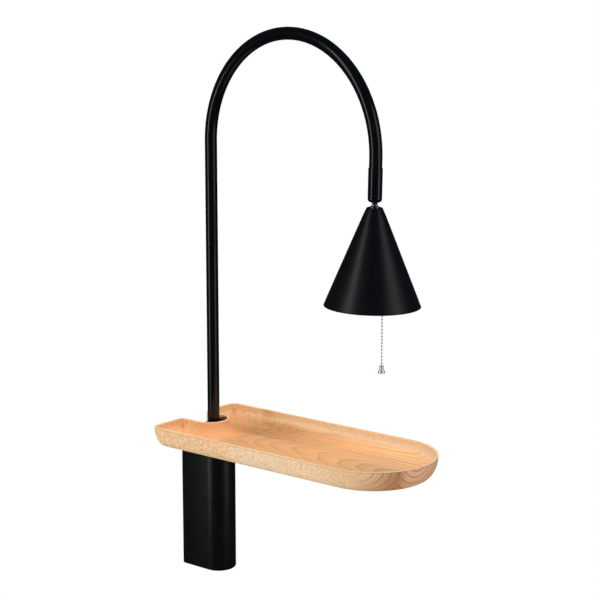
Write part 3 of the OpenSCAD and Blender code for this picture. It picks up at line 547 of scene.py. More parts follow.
def beech(name):
    """Lacquered beech, glued from two boards: rings round a leaning pith make flames on the tray's floor,
    each board shows rings of its own on the round end, a darker zone along the far side is partly heartwood
    and partly painted shadow at the foot of the far wall, and ray flecks cover the outer sides. A painted
    highlight runs along the rim, and painted shade darkens the round end towards its bottom."""
    tones = colours()
    cream, honey, amber, brown = (
        tuple(tone) for tone in (tones.wood_cream, tones.wood_honey, tones.wood_amber, tones.wood_brown)
    )
    finish = Finish(name)
    maths, ranged, distance = finish.math, finish.ranged, finish.distance
    times, plus, minus = finish.times, finish.plus, finish.minus

    def figure(fine, drawn_out, detail, **mapping):
        """Noise along the boards: how fine it is across them and along them."""
        return finish.noise(finish.mapped(scale=(fine, drawn_out, fine), **mapping), 1.0, detail=detail)

    split = finish.node("ShaderNodeSeparateXYZ")
    finish.link(finish.place, split.inputs[0])
    across, height = split.outputs["X"], split.outputs["Z"]
    along = times(split.outputs["Y"], -1)

    # How far out a point lies from the tray's middle line, and whether it is on the outer side
    past_straight = maths("MAXIMUM", minus(along, TRAY_STRAIGHT), 0)
    reach = distance(across, past_straight)
    from_edge = maths("MINIMUM", minus(TRAY_HALF, reach), along)
    depth = minus(TRAY_RIM, height)
    skin = plus(WALL_MIDDLE, times(maths("POWER", depth, 2), SIDE_CURVE))
    outer = maths("MAXIMUM", ranged(minus(skin, from_edge), -SEAM, SEAM, 0, 1),
                  ranged(height, TRAY_FLOOR - 0.0010, TRAY_FLOOR - 0.0014, 0, 1))
    inner = minus(1, outer)
    wall = times(inner, ranged(height, TRAY_FLOOR + 0.001, TRAY_FLOOR + 0.007, 0, 1))
    ground = minus(inner, wall)
    round_end = times(outer, ranged(past_straight, 0.018, 0.062, 0, 1))

    # Growth rings round the leaning pith
    pith = minus(PITH_HEIGHT, times(along, PITH_LEAN))
    below = minus(height, pith)
    beside = minus(across, times(minus(along, PITH_START), PITH_DRIFT))
    radius = distance(beside, below)
    drift = figure(16, 7, 2, location=(0.3, 0.1, 0))
    waver = figure(90, 26, 2)
    radius = plus(radius, times(minus(drift, 0.5), 0.012))
    radius = plus(radius, times(minus(waver, 0.5), 0.0018))
    radius = plus(radius, RING_SHIFT)
    ring = maths("FRACT", maths("DIVIDE", radius, RING_WIDTH))
    line = finish.grey_ramp(
        ring, [(0.0, 0.0), (0.3, 0.06), (0.76, 0.42), (0.86, 1.0), (0.93, 1.0), (0.97, 0.0)]
    )

    # Body colours of the floor, the inner walls and the outer sides, from the wall to the round end
    share = maths("DIVIDE", along, TRAY_LENGTH)
    floor_tone = finish.ramp(share, [
        (0.05, honey), (0.14, amber), (0.3, toned(honey, 0.88)), (0.6, honey),
        (0.85, mixed(toned(honey, 1.16), cream, 0.34)),
    ])
    side_tone = finish.ramp(plus(share, times(waver, 0.05)), [
        (0.0, cream), (0.36, toned(cream, 0.97)), (0.41, mixed(cream, PALE_SIDE, 0.6)),
        (0.72, mixed(cream, PALE_SIDE_FRONT, 0.5)), (0.86, toned(cream, 0.86)),
    ])
    tone = finish.mix(outer, floor_tone, side_tone)
    wall_tone = finish.ramp(share, [(0.12, WALL_BACK), (0.5, WALL_FRONT)])
    tone = finish.mix(times(wall, 0.85), tone, wall_tone)
    beside_post = ranged(maths("ABSOLUTE", across), 0.048, 0.038, 0, 1)
    collar = times(beside_post, ranged(along, 0.084, 0.07, 0, 1))
    collar = times(times(collar, ranged(along, 0.02, 0.04, 0.3, 1)), inner)
    collar_tone = finish.mix(ranged(across, -0.002, 0.014, 0, 0.7), COLLAR_LEFT, COLLAR_RIGHT)
    tone = finish.mix(times(collar, 0.8), tone, collar_tone)
    end_tone = finish.ramp(ranged(across, -0.08, 0.06, 0, 1), [
        (0.0, toned(cream, 0.88)), (0.07, toned(cream, 0.8)), (0.15, mixed(cream, brown, 0.6)),
        (0.28, toned(brown, 1.05)), (0.35, END_ROSE), (0.62, END_ROSE_DEEP),
        (0.85, mixed(cream, brown, 0.3)),
    ])
    # Painted shade: the round end is painted darker towards its bottom, where it curves under, most on the -X
    # side
    painted_end_shade = times(ranged(depth, 0.004, 0.022, 0, 0.75), ranged(across, -0.02, -0.045, 0.3, 1))
    end_tone = finish.mix(painted_end_shade, end_tone, toned(brown, 1.3))
    tone = finish.mix(round_end, tone, end_tone)

    # A darker zone along the far side, darkest beside the post: partly heartwood, partly painted shadow at the
    # foot of the far wall and by the collar
    patchy = figure(70, 22, 3)
    far_side = ranged(plus(across, times(patchy, 0.024)), 0.026, 0.040, 0, 1)
    near_post = ranged(plus(along, times(patchy, 0.10)), 0.26, 0.11, 0, 1)
    heart_and_shadow = times(times(far_side, near_post), ground)
    heart_and_shadow = times(heart_and_shadow, ranged(along, 0.055, 0.085, 0.4, 1))
    tone = finish.mix(heart_and_shadow, tone, mixed(brown, amber, 0.3))

    # Rings: flames on the floor, faint on the inner walls, and each board's own on the round end
    patch = figure(30, 8, 1, location=(0.2, 0, 0))
    on_floor = times(ground, ranged(patch, 0.35, 0.65, 0.38, 0.7))
    on_floor = times(on_floor, ranged(along, 0.064, 0.076, 0, 1))
    show = plus(on_floor, times(wall, 0.06))
    tone = finish.mix(times(line, show), tone, mixed(brown, FLAME_ORANGE, 0.45))
    near_board = ranged(across, BOARD_JOINT - SEAM, BOARD_JOINT + SEAM, 1, 0)
    off_pith = [
        minus(place, ranged(near_board, 0, 1, far, near))
        for place, far, near in zip((across, height), FAR_PITH, NEAR_PITH)
    ]
    end_radius = plus(distance(*off_pith), times(waver, 0.0016))
    end_ring = maths("FRACT", maths("DIVIDE", end_radius, END_RING_WIDTH))
    end_line = finish.grey_ramp(
        end_ring, [(0.0, 0.0), (0.25, 0.3), (0.5, 0.1), (0.78, 0.7), (0.9, 1.0), (0.97, 0.0)]
    )
    tone = finish.mix(times(end_line, times(round_end, 0.8)), tone, toned(brown, 0.66))

    # Pores and fine lines on the floor, short ray flecks on the sides, dark streaks in the darker far-side
    # zone (heartwood with painted shadow)
    pores = figure(520, 14, 2)
    tone = finish.mix(times(ranged(pores, 0.55, 0.70, 0, 0.42), ground), tone, toned(brown, 1.4))
    fine_lines = figure(300, 3, 1)
    fine_lines = times(ranged(fine_lines, 0.56, 0.66, 0, 0.4), ranged(along, 0.18, 0.26, 0, 1))
    tone = finish.mix(times(fine_lines, ground), tone, mixed(brown, honey, 0.3))
    slanted = finish.mapped(rotation=(radians(-9), 0, 0))
    flecks = figure(1000, 220, 1, source=slanted)
    outer_depth = times(outer, ranged(along, 0.11, 0.16, 0.66, 0.46))
    wall_depth = times(wall, ranged(along, 0.05, 0.03, 0.3, 0.5))
    fleck_depth = times(plus(outer_depth, wall_depth), minus(1, times(round_end, 0.6)))
    flecked = times(ranged(flecks, 0.50, 0.56, 0, 1), fleck_depth)
    tone = finish.mix(flecked, tone, toned(brown, 1.6))
    streaks = figure(600, 140, 1)
    tone = finish.mix(times(ranged(streaks, 0.5, 0.57, 0, 0.62), heart_and_shadow), tone, toned(brown, 0.5))

    # Painted highlight: the rim is painted paler along its top, over a fine dark line just below it on the
    # outer side
    rim = ranged(height, TRAY_RIM - 0.0010, TRAY_RIM - 0.0006, 0, 0.75)
    edge = times(ranged(height, TRAY_RIM - 0.0022, TRAY_RIM - 0.0016, 0, 0.4), outer)
    tone = finish.mix(edge, tone, brown)
    tone = finish.mix(rim, tone, toned(cream, 1.1))
    finish.paint(tone)
    finish.link(ranged(pores, 0.3, 0.8, 0.38, 0.52), finish.shader.inputs["Roughness"])
    finish.shader.inputs["Specular IOR Level"].default_value = 0.4
    finish.bump(plus(pores, times(flecks, 0.6)), 0.00004)
    return finish.material


def metal(name, tone, rough, stretch=(1, 1, 1), metallic=1.0):
    """A metal with a faintly uneven tone and a fine surface."""
    tone = tuple(tone)
    finish = Finish(name, Metallic=metallic)
    cloud_scale, fine_scale, grain = 420, 2520, 0.00001
    cloud = finish.noise(finish.mapped(scale=stretch), cloud_scale, detail=3)
    finish.clouded(cloud, tone, 0.88, 1.1)
    finish.uneven_gloss(cloud, rough, 0.06)
    fine = finish.noise(finish.mapped(scale=stretch), fine_scale, detail=2)
    finish.bump(fine, grain)
    return finish.material


def moulded(name, tone, rough, grain=0.00003):
    """A moulded plastic, rubber or PVC with a fine sparked skin."""
    tone = tuple(tone)
    finish = Finish(name)
    cloud_scale, skin_scale = 90, 1800
    cloud = finish.noise(finish.place, cloud_scale, detail=3)
    finish.clouded(cloud, tone, 0.93, 1.05)
    skin = finish.noise(finish.place, skin_scale, detail=2)
    finish.uneven_gloss(skin, rough, 0.05)
    finish.bump(skin, grain)
    return finish.material


def opal_glass(name):
    """Opal glass: a milky body under a smooth skin, a touch uneven in thickness."""
    tone = tuple(colours().opal)
    finish = Finish(
        name, Subsurface_Weight=0.25, Subsurface_Scale=0.002, Coat_Weight=0.4, Coat_Roughness=0.06
    )
    cloud = finish.noise(finish.place, 60, detail=2)
    finish.clouded(cloud, tone, 0.96, 1.03)
    finish.uneven_gloss(cloud, 0.22, 0.04)
    return finish.material


FINISHES = {}


def finishes():
    """Every finish of the lamp, made once."""
    if not FINISHES:
        tones = colours()
        FINISHES.update(
            satin_black=powder_coat("satin_black_powder_coat", 0.38, 0.000012),
            gloss_black=powder_coat("semi_gloss_black_powder_coat", 0.215, 0.000003),
            wood=beech("lacquered_beech"),
            zinc=metal("zinc_plate", tones.zinc, 0.4, stretch=(1, 1, 0.15), metallic=0.6),
            brass=metal("bright_brass", tones.brass, 0.24),
            nickel=metal("polished_nickel", tones.nickel, 0.3, metallic=0.7),
            black_nickel=metal("black_nickel", tones.black_nickel, 0.26),
            nylon=moulded("moulded_nylon", tones.nylon, 0.5),
            jacket=moulded("lead_jacket", tones.jacket, 0.42, grain=0.00001),
            rubber=moulded("moulded_rubber", tones.rubber, 0.7),
            black_plastic=moulded("black_phenolic", tones.black_plastic, 0.38),
            opal=opal_glass("opal_glass"),
        )
    return FINISHES


# ---- Operators, one for each piece or group of like pieces ----


class WALLLAMP_OT_housing(bpy.types.Operator):
    """Paints the wall housing, its bottom plate and the plate inside its top"""

    bl_idname = "wall_lamp.housing"
    bl_label = "Wall housing"

    def execute(self, context):
        edge = sizes().sheet_edge
        coated("housing", "satin_black", edge, "housing_shell", segments=3)
        coated("base_plate", "satin_black", edge, "bottom_plate")
        coated("cap_plate", "zinc", edge, "top_plate")
        return {"FINISHED"}


class WALLLAMP_OT_bracket(bpy.types.Operator):
    """Finishes the wall bracket, the steel plate under the tray and the cover in its slot"""

    bl_idname = "wall_lamp.bracket"
    bl_label = "Wall bracket and tray plate"

    def execute(self, context):
        coated("wall_bracket", "zinc", sizes().sheet_edge, "bracket_plate")
        coated("tray_plate", "satin_black", sizes().sheet_edge, "tray_bearer")
        coated("post_cover", "black_plastic", sizes().moulded_edge, "slot_cover", segments=3)
        return {"FINISHED"}


class WALLLAMP_OT_fasteners(bpy.types.Operator):
    """Finishes the screws"""

    bl_idname = "wall_lamp.fasteners"
    bl_label = "Screws"

    def execute(self, context):
        for node, plating, name in (
            ("housing_screw", "satin_black", "bottom_plate_screw"),
            ("tray_screws", "zinc", "wood_screws"),
            ("cap_screws", "zinc", "sleeve_screws"),
            ("stop_screw", "zinc", "swivel_stop"),
            ("block_screws", "zinc", "block_fixings"),
            ("terminal_screws", "brass", "clamp_screws"),
            ("earth_screw", "brass", "earth_terminal"),
        ):
            coated(node, plating, sizes().screw_edge, name)
        return {"FINISHED"}


class WALLLAMP_OT_wiring(bpy.types.Operator):
    """Finishes the terminal block, the grommet and the inner leads"""

    bl_idname = "wall_lamp.wiring"
    bl_label = "Wiring"

    def execute(self, context):
        coated("terminal_block", "nylon", sizes().moulded_edge, "terminal_strip")
        coated("cable_grommet", "rubber", sizes().moulded_edge, "entry_grommet", segments=3)
        for node, name in (
            ("supply_lead", "housing_wire"),
            ("arm_lead", "arm_wire"),
            ("head_lead", "head_wire"),
        ):
            coated(node, "jacket", sizes().screw_edge, name)
        return {"FINISHED"}


class WALLLAMP_OT_bearing(bpy.types.Operator):
    """Finishes the sleeve and the bushes that the post turns in"""

    bl_idname = "wall_lamp.bearing"
    bl_label = "Post bearing"

    def execute(self, context):
        coated("post_sleeve", "zinc", sizes().sheet_edge, "bearing_sleeve")
        for node, name in (
            ("upper_bush", "top_bush"),
            ("lower_bush", "bottom_bush"),
            ("thrust_washer", "post_washer"),
        ):
            coated(node, "nylon", sizes().screw_edge, name)
        return {"FINISHED"}


class WALLLAMP_OT_tray(bpy.types.Operator):
    """Finishes the beech tray with its eased edges"""

    bl_idname = "wall_lamp.tray"
    bl_label = "Beech tray"

    def execute(self, context):
        coated("tray", "wood", sizes().wood_edge, "beech_tray", segments=3, angle=30)
        return {"FINISHED"}


class WALLLAMP_OT_arm(bpy.types.Operator):
    """Bends the arched tube: a ring drawn up as the post, spun round the arch and drawn down as the leg"""

    bl_idname = "wall_lamp.arm"
    bl_label = "Arched tube"

    def execute(self, context):
        low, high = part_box("arm_tube")
        radius = 8 * MM
        post = post_point()
        spring = high.z - sizes().arch_radius - radius
        ball = joint_point("head_turn")
        outward = Vector((ball.x - post.x, ball.y - post.y, 0)).normalized()
        middle = Vector((post.x, post.y, spring)) + outward * sizes().arch_radius
        end_direction = -joint_axis("head_turn")
        sweep = pi + asin(end_direction.dot(-outward))
        piece = circle("arched_tube", vertices=64, radius=radius, location=(post.x, post.y, low.z))
        bpy.ops.mesh.extrude_edges_move(TRANSFORM_OT_translate={"value": (0, 0, spring - low.z)})
        bpy.ops.mesh.spin(steps=90, angle=-sweep, center=middle, axis=UP.cross(outward))
        bpy.ops.mesh.extrude_edges_move(
            TRANSFORM_OT_translate={"value": tuple(end_direction * sizes().leg_length)}
        )
        close_seams()
        leave_edit()
        apply_place()
        apply_modifier(piece, "tube_wall", "SOLIDIFY", thickness=sizes().tube_wall, offset=-1)
        dressed(piece, "arm_tube", "gloss_black")
        return {"FINISHED"}


class WALLLAMP_OT_ball_joint(bpy.types.Operator):
    """Turns the ball socket, the ball, its seats and ring, the stem and the neck collar"""

    bl_idname = "wall_lamp.ball_joint"
    bl_label = "Ball joint"

    def execute(self, context):
        place = ball_frame()
        self.socket(place)
        self.ball(place)
        self.collar(place)
        edge = sizes().screw_edge
        coated("retaining_ring", "zinc", edge, "seat_ring")
        coated("lower_seat", "nylon", edge, "ball_seat_below")
        coated("upper_seat", "nylon", edge, "ball_seat_above")
        coated("shade_stem", "black_nickel", edge, "hollow_stem")
        return {"FINISHED"}

    def socket(self, place):
        """The ferrule at the end of the tube, domed towards its mouth."""
        outer, mouth, top, foot = 8.7 * MM, 5.6 * MM, 37 * MM, -3.9 * MM
        cavity, bore, tube_end, lip = 7.65 * MM, 8.05 * MM, 12 * MM, 1 * MM
        dome_top = 0.2 * MM
        dome = arc(mouth, dome_top, outer - mouth, 0, 90, 12, rise=foot - dome_top)
        section = (
            [(bore, top)]
            + arc(outer - 0.4 * MM, top - 0.4 * MM, 0.4 * MM, 90, 0, 4)
            + [(outer, 20 * MM)]
            + dome
            + [(mouth, foot + lip), (mouth + 0.6 * MM, foot + lip), (cavity, -0.4 * MM)]
            + [(cavity, tube_end), (bore, tube_end)]
        )
        turned_part("ball_socket", "tube_ferrule", section, place, "gloss_black", sizes().facets)

    def ball(self, place):
        """The ball, bored for the stem, with a flat top and a counterbore for the stem's head."""
        radius, bore, head_bore, head_floor, flat = 6.2 * MM, 3.25 * MM, 3.85 * MM, 3.5 * MM, 4.8 * MM
        bore_angle, flat_angle = -58.4, 50.7
        section = (
            arc(0, 0, radius, bore_angle, flat_angle, 28)
            + [(head_bore, flat), (head_bore, head_floor), (bore, head_floor)]
        )
        turned_part("swivel_ball", "joint_ball", section, place, "black_nickel")

    def collar(self, place):
        """The collar under the ball: a narrow neck that flares to a thin foot on the shade."""
        low, high = -10.4 * MM, -6.4 * MM
        neck, foot, bore, foot_t, flare = 3.8 * MM, 6.1 * MM, 3.25 * MM, 1 * MM, 1.8 * MM
        edge = 0.2 * MM
        flared = arc(foot, low + foot_t + flare, neck - foot, 0, 90, 10, rise=-flare)[:-1]
        section = (
            [(bore, low), (bore, high)]
            + arc(neck - edge, high - edge, edge, 90, 0, 3)
            + flared
            + arc(foot - edge, low + foot_t - edge, edge, 90, 0, 3)
            + [(foot, low)]
        )
        turned_part("neck_collar", "flared_collar", section, place, "black_nickel")


class WALLLAMP_OT_shade(bpy.types.Operator):
    """Spins the cone shade with its rounded top and turned hem, and its nut"""

    bl_idname = "wall_lamp.shade"
    bl_label = "Cone shade"

    def execute(self, context):
        top, rim = -10.4 * MM, -130.4 * MM
        top_r, rim_r, edge_r, hole, plate = 10 * MM, 59.3 * MM, 1.2 * MM, 3.3 * MM, 1.6 * MM
        wall = sizes().shade_wall
        slope = (rim_r - top_r) / (top - rim)
        slant = hypot(1, slope)
        wall_x = wall * slant
        inner_top = top_r + plate * slope - wall_x
        hem_step, lip, round_out, round_in = 0.22 * MM, 0.3 * MM, 0.12 * MM, 0.15 * MM

        def outside(height):
            return top_r + (top - height) * slope

        hem_top = rim + sizes().hem_width
        heights = [top + (rim - top) * i / 12 for i in range(1, 12)]
        section = (
            [(hole, top)]
            + arc(top_r - edge_r, top - edge_r, edge_r, 90, 22, 5)
            + [(outside(height), height) for height in heights]
            + [
                (outside(hem_top) - hem_step / slant, hem_top),
                (outside(hem_top - hem_step), hem_top - hem_step),
                (outside(rim + lip), rim + lip),
                (rim_r - round_out, rim),
                (rim_r - wall_x + round_in, rim),
                (outside(rim + lip) - wall_x, rim + lip),
                (inner_top, top - plate),
                (hole, top - plate),
            ]
        )
        turned_part("shade", "cone_shade", section, ball_frame(), "satin_black", facets=128, smooth=30)
        coated("shade_nut", "black_nickel", 0.35 * MM, "shade_lock_nut")
        return {"FINISHED"}


class WALLLAMP_OT_lamp(bpy.types.Operator):
    """Makes the lamp holder with its contacts, and the tubular lamp in it"""

    bl_idname = "wall_lamp.lamp"
    bl_label = "Lamp holder and lamp"

    def execute(self, context):
        edge = sizes().moulded_edge
        coated("lamp_holder", "black_plastic", edge, "phenolic_holder", segments=3)
        coated("centre_contact", "brass", sizes().screw_edge, "contact_tab")
        place = holder_frame()
        self.shell(place)
        self.cap(place)
        self.glass(place)
        return {"FINISHED"}

    def threaded(self, outer, low, high, depth):
        """Points up a wall with a rolled thread, from low to high, between two radii."""
        turns = round((high - low) / sizes().thread_pitch)
        steps = 8
        count = turns * steps
        return [
            (
                outer - depth / 2 + depth / 2 * cos(2 * pi * i / steps),
                low + (high - low) * i / count,
            )
            for i in range(count + 1)
        ]

    def shell(self, place):
        """The thin contact shell of the holder, rolled with the lamp's thread."""
        low, high = -72 * MM, -50 * MM
        outer, wall = 7.5 * MM, 0.3 * MM
        outside = self.threaded(outer, low, high, 0.4 * MM)
        inside = [(radius - wall, height) for radius, height in reversed(outside)]
        turned_part("screw_shell", "rolled_screw_shell", outside + inside, place, "brass", smooth=50)

    def cap(self, place):
        """The lamp's screw cap, which closes above its thread round the neck of the glass."""
        low, high = -70.7 * MM, -52 * MM
        outer = 6.8 * MM
        section = self.threaded(outer, low + 2 * MM, high - 3.5 * MM, 0.5 * MM)
        section = (
            [(0.4 * MM, low), (outer - 0.3 * MM, low)]
            + section
            + [(outer - 1 * MM, high - 3 * MM), (2.6 * MM, high - 1.2 * MM)]
            + [(2.2 * MM, high), (0.4 * MM, high)]
        )
        turned_part("lamp_cap", "lamp_screw_cap", section, place, "nickel", smooth=50, closed=False)

    def glass(self, place):
        """The bulb: a neck in the cap, a shoulder, a straight barrel and a round end, blown thin."""
        neck_z, end_z = -71 * MM, -116.5 * MM
        neck_r, barrel_r, wall = 6.8 * MM, 12.5 * MM, 0.8 * MM
        neck_l, shoulder = 4 * MM, 9 * MM

        def half(inset):
            r = barrel_r - inset
            neck = neck_r - inset
            points = [(neck, neck_z - 0.01 * MM), (neck, neck_z - neck_l)]
            points += [
                (
                    neck + (r - neck) * (1 - cos(radians(180 * i / 12))) / 2,
                    neck_z - neck_l - shoulder * i / 12,
                )
                for i in range(1, 13)
            ]
            end = arc(0, end_z + barrel_r, r, 0, -90, 14)
            return points + [(max(radius, TIP), height) for radius, height in end]

        section = half(0) + half(wall)[::-1]
        turned_part("lamp_glass", "opal_bulb", section, place, "opal", smooth=40)


class WALLLAMP_OT_pull_switch(bpy.types.Operator):
    """Makes the brass guide, the spring and the plunger of the pull switch"""

    bl_idname = "wall_lamp.pull_switch"
    bl_label = "Pull switch"

    def execute(self, context):
        edge = sizes().screw_edge
        coated("chain_guide", "brass", edge, "guide_bush", segments=3)
        coated("switch_plunger", "brass", edge, "switch_rod", segments=3)
        self.spring()
        return {"FINISHED"}

    def spring(self):
        """The return spring: wire wound round the rod, whose head presses it down when it is pulled."""
        aside, seat_z, length = 20 * MM, -70.0 * MM, 12.5 * MM
        coil_r, wire_r, turns, travel = 2.2 * MM, 0.69 * MM, 4, 6 * MM
        place = holder_frame() @ Matrix.Translation((0, -aside, seat_z))
        deselect_all()
        bpy.ops.mesh.primitive_circle_add(
            vertices=10, radius=wire_r, location=(coil_r, 0, wire_r), rotation=(radians(90), 0, 0)
        )
        piece = bpy.context.object
        piece.name = "return_spring"
        apply_place()
        apply_modifier(
            piece, "coil", "SCREW", axis="Z", angle=2 * pi, screw_offset=(length - 2 * wire_r) / turns,
            iterations=turns, steps=24, render_steps=24,
        )
        edit(piece)
        fill_and_close()
        leave_edit()
        dressed(moved(piece, place), "pull_spring", "zinc", 60)
        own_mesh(piece)


class WALLLAMP_OT_pull_chain(bpy.types.Operator):
    """Makes the hook, the bead chain and the bell of the pull"""

    bl_idname = "wall_lamp.pull_chain"
    bl_label = "Pull chain and bell"

    def execute(self, context):
        place = chain_frame()
        hook = self.wire_ring("s_hook", 2 * MM, 0.4 * MM, (0, 0, -2 * MM), "XZ")
        dressed(moved(hook, place), "chain_hook", "nickel", 60)
        self.chain(place)
        self.bell(place)
        return {"FINISHED"}

    def wire_ring(self, name, radius, wire, centre, plane):
        """A ring bent from round wire: a small circle spun about the ring's middle."""
        centre = Vector(centre)
        start = centre + Vector((0, 0, radius))
        turn = (radians(90), 0, 0) if plane == "YZ" else (0, radians(90), 0)
        axis = (1, 0, 0) if plane == "YZ" else (0, 1, 0)
        piece = circle(name, vertices=12, radius=wire, location=start, rotation=turn)
        bpy.ops.mesh.spin(steps=28, angle=2 * pi, center=centre, axis=axis)
        close_seams()
        leave_edit()
        apply_place()
        return piece

    def chain(self, place):
        """Hollow beads on a wire: one bead with drawn-in ends, copied down the chain."""
        radius, pitch, wire = sizes().bead_radius, sizes().bead_pitch, sizes().chain_wire
        clasp_r = 1.5 * MM
        clasp_middle = -4.6 * MM
        first = clasp_middle - 2 * clasp_r
        mouth = asin(0.42)
        mouth_degrees = 90 - mouth * 180 / pi
        section = arc(0, 0, radius, -mouth_degrees, mouth_degrees, 12)
        bead = turned("bead", section, 20, closed=False)
        moved(bead, Matrix.Translation((0, 0, first)))
        beads = [own_copy(bead, f"bead_{i}", (0, 0, -pitch * i)) for i in range(1, sizes().bead_count)]
        clasp = self.wire_ring("clasp", clasp_r, 0.4 * MM, (0, 0, clasp_middle), "YZ")
        last = first - pitch * (sizes().bead_count - 1)
        link_low = last - radius - 1.65 * MM
        link = turned("link_wire", [(wire, first + radius), (wire, link_low)], 10, closed=False)
        whole = joined("ball_chain", [bead, *beads, clasp, link])
        dressed(moved(whole, place), "bead_chain", "nickel", 60)

    def bell(self, place):
        """The bell at the end of the chain: a crown, a waist and a flared, hollow mouth."""
        top, height = -118.2 * MM, 9.2 * MM
        crown_r, mouth_r, bore = 2.7 * MM, 4.6 * MM, 0.5 * MM
        bottom = top - height
        outer = arc(crown_r - 0.8 * MM, top - 0.8 * MM, 0.8 * MM, 90, 0, 5)
        outer += [
            (
                crown_r + (mouth_r - crown_r) * (i / 10) ** 2.2,
                top - 0.8 * MM - (height - 1.7 * MM) * i / 10,
            )
            for i in range(1, 11)
        ]
        outer += [(mouth_r, bottom + 0.5 * MM), (mouth_r - 0.15 * MM, bottom)]
        inner = [
            (mouth_r - 0.75 * MM, bottom),
            (mouth_r - 1.3 * MM, bottom + 1.6 * MM),
            (crown_r - 0.5 * MM, bottom + 3.6 * MM),
            (crown_r - 1 * MM, bottom + 4.9 * MM),
            (bore, bottom + 5.1 * MM),
        ]
        section = [(bore, top)] + outer + inner
        turned_part("bell_pull", "pull_bell", section, place, "nickel", facets=40, smooth=40)


class WALLLAMP_OT_stage(bpy.types.Operator):
    """Sets up the camera, the studio floor, the soft boxes and the white background"""

    bl_idname = "wall_lamp.stage"
    bl_label = "Camera, lights and floor"

    def execute(self, context):
        self.camera(context)
        self.floor()
        self.background(context)
        self.soft_boxes()
        context.scene.view_settings.view_transform = "Standard"
        return {"FINISHED"}

    # The camera solved from the photograph's outline of the lamp
    AZIMUTH = radians(-50.97)
    ELEVATION = radians(10.87)
    CAMERA_PLACE = (-1.60434, -1.48739, 0.69385)
    FOCAL_PIXELS = 1658.45
    FRAME_PIXELS = 600
    SENSOR = 36
    FLOOR_Z = -0.75
    ROOM_GLOW = 0.03
    AMBIENT = 0.5
    FADE_FROM, FADE_TO = 0.5, 1.3
    AIM = (0, -0.16, 0.25)

    def camera(self, context):
        data = bpy.data.cameras.new("studio_camera")
        data.sensor_width = self.SENSOR
        data.lens = self.FOCAL_PIXELS * self.SENSOR / self.FRAME_PIXELS
        camera = bpy.data.objects.new("studio_camera", data)
        camera.location = self.CAMERA_PLACE
        camera.rotation_euler = (radians(90) - self.ELEVATION, 0, self.AZIMUTH)
        context.scene.collection.objects.link(camera)
        context.scene.camera = camera

    def floor(self):
        """A pale floor that keeps the lamp's shadow near it and fades into the white background."""
        bpy.ops.mesh.primitive_plane_add(size=24, location=(0, 0, self.FLOOR_Z))
        floor = bpy.context.object
        floor.name = "studio_floor"
        finish = Finish("pale_floor", Roughness=0.8)
        finish.shader.inputs["Base Color"].default_value = (*colours().floor, 1)
        white = finish.node("ShaderNodeEmission")
        white.inputs["Strength"].default_value = 1.0
        dark = finish.node("ShaderNodeEmission")
        dark.inputs["Strength"].default_value = self.ROOM_GLOW
        path = finish.node("ShaderNodeLightPath")
        seen = finish.math("MAXIMUM", path.outputs["Is Camera Ray"], path.outputs["Is Transmission Ray"])
        reach = finish.node("ShaderNodeVectorMath", operation="LENGTH")
        finish.link(finish.place, reach.inputs[0])
        fade = finish.ranged(reach.outputs["Value"], self.FADE_FROM, self.FADE_TO, 0, 1)
        faded = finish.node("ShaderNodeMixShader")
        finish.link(finish.math("MULTIPLY", seen, fade), faded.inputs[0])
        finish.link(finish.shader.outputs["BSDF"], faded.inputs[1])
        finish.link(white.outputs["Emission"], faded.inputs[2])
        mix = finish.node("ShaderNodeMixShader")
        finish.link(path.outputs["Is Glossy Ray"], mix.inputs[0])
        finish.link(faded.outputs["Shader"], mix.inputs[1])
        finish.link(dark.outputs["Emission"], mix.inputs[2])
        output = next(n for n in finish.tree.nodes if n.type == "OUTPUT_MATERIAL")
        finish.link(mix.outputs["Shader"], output.inputs["Surface"])
        floor.data.materials.append(finish.material)

    def background(self, context):
        """White where it is seen, a plain soft light on the lamp, and a dark room in its reflections."""
        world = bpy.data.worlds.new("studio_white")
        world.use_nodes = True
        context.scene.world = world
        tree = world.node_tree
        tree.nodes.clear()

        def node(kind, *links, **values):
            made = tree.nodes.new(kind)
            for socket, source in zip(made.inputs, links):
                if source is not None:
                    tree.links.new(source, socket)
            for key, value in values.items():
                made.inputs[key].default_value = value
            return made

        path = tree.nodes.new("ShaderNodeLightPath")
        seen = node("ShaderNodeMath", path.outputs["Is Camera Ray"], path.outputs["Is Transmission Ray"])
        seen.operation = "MAXIMUM"
        plain = (1, 1, 1, 1)
        white = node("ShaderNodeBackground", Color=plain, Strength=1.0)
        ambient = node("ShaderNodeBackground", Color=plain, Strength=self.AMBIENT)
        room = node("ShaderNodeBackground", Color=plain, Strength=self.ROOM_GLOW)
        lit = node("ShaderNodeMixShader", path.outputs["Is Glossy Ray"], ambient.outputs[0], room.outputs[0])
        whole = node("ShaderNodeMixShader", seen.outputs[0], lit.outputs[0], white.outputs[0])
        node("ShaderNodeOutputWorld", whole.outputs[0])

    def soft_box(self, name, bearing, distance, height, size, radiance, tone, seen=True):
        """A soft box at a bearing from the camera's side of the lamp, in degrees to the right. Only one that
        is seen shows in reflections."""
        aim = Vector(self.AIM)
        towards = radians(bearing)
        out = Vector((sin(self.AZIMUTH), -cos(self.AZIMUTH), 0))
        right = Vector((cos(self.AZIMUTH), sin(self.AZIMUTH), 0))
        place = aim + (out * cos(towards) + right * sin(towards)) * distance
        place.z = height
        data = bpy.data.lights.new(name, "AREA")
        data.shape = "RECTANGLE"
        data.size, data.size_y = size
        data.energy = radiance * pi * size[0] * size[1]
        data.color = tone
        light = bpy.data.objects.new(name, data)
        light.visible_camera = False
        light.visible_glossy = seen
        light.location = place
        light.rotation_euler = (aim - place).to_track_quat("-Z", "Y").to_euler()
        bpy.context.scene.collection.objects.link(light)

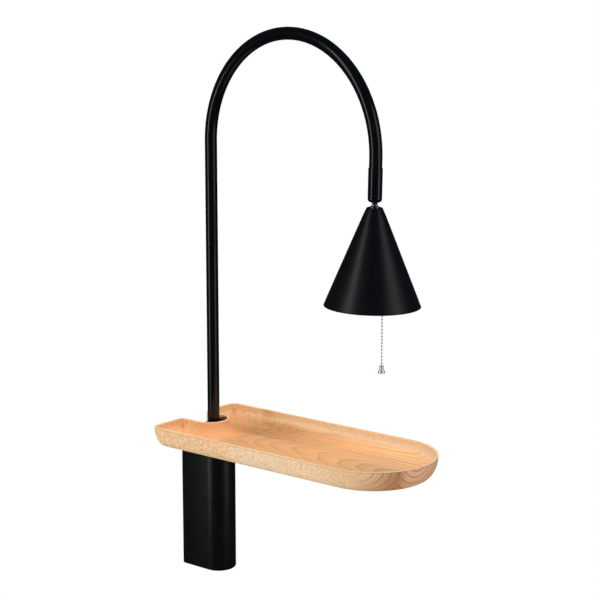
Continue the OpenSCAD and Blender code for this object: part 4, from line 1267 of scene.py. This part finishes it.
    def soft_boxes(self):
        self.soft_box("left_strip", -62, 2.6, 0.7, (0.36, 2.6), 6.7, (1.0, 0.97, 0.96))
        self.soft_box("right_box", 60, 2.7, 0.7, (1.3, 2.6), 1.45, (0.97, 0.98, 1.0))
        self.soft_box("top_box", 180, 0.3, 2.7, (1.4, 1.4), 7.0, (1.0, 1.0, 1.0), seen=False)
        self.soft_box("left_fill", -25, 3.2, 1.1, (2.4, 2.4), 0.75, (1.0, 0.99, 0.97), seen=False)
        self.soft_box("right_fill", 45, 3.2, 1.1, (2.4, 2.4), 0.75, (1.0, 0.99, 0.97), seen=False)


class WALLLAMP_PT_panel(bpy.types.Panel):
    """Lists the steps that make the lamp, with its sizes and colours."""

    bl_idname = "WALLLAMP_PT_panel"
    bl_label = "Wall lamp with shelf"
    bl_space_type = "VIEW_3D"
    bl_region_type = "UI"
    bl_category = "Wall lamp"

    def draw(self, context):
        for step in STEPS:
            self.layout.operator(step.bl_idname)
        for group in (sizes(), colours()):
            box = self.layout.box()
            for key in group.bl_rna.properties.keys():
                if key not in ("rna_type", "name"):
                    box.prop(group, key)


STEPS = (
    WALLLAMP_OT_stage,
    WALLLAMP_OT_housing,
    WALLLAMP_OT_bracket,
    WALLLAMP_OT_fasteners,
    WALLLAMP_OT_wiring,
    WALLLAMP_OT_bearing,
    WALLLAMP_OT_tray,
    WALLLAMP_OT_arm,
    WALLLAMP_OT_ball_joint,
    WALLLAMP_OT_shade,
    WALLLAMP_OT_lamp,
    WALLLAMP_OT_pull_switch,
    WALLLAMP_OT_pull_chain,
)
CLASSES = (WallLampSizes, WallLampColours, *STEPS, WALLLAMP_PT_panel)


def register():
    for cls in CLASSES:
        bpy.utils.register_class(cls)
    bpy.types.Scene.wall_lamp_sizes = PointerProperty(type=WallLampSizes)
    bpy.types.Scene.wall_lamp_colours = PointerProperty(type=WallLampColours)


def unregister():
    del bpy.types.Scene.wall_lamp_colours
    del bpy.types.Scene.wall_lamp_sizes
    for cls in reversed(CLASSES):
        bpy.utils.unregister_class(cls)


def main():
    register()
    for step in STEPS:
        group, name = step.bl_idname.split(".")
        if "FINISHED" not in getattr(getattr(bpy.ops, group), name)():
            raise RuntimeError(f"{step.bl_label} did not finish")
    deselect_all()


if __name__ == "__main__":
    main()
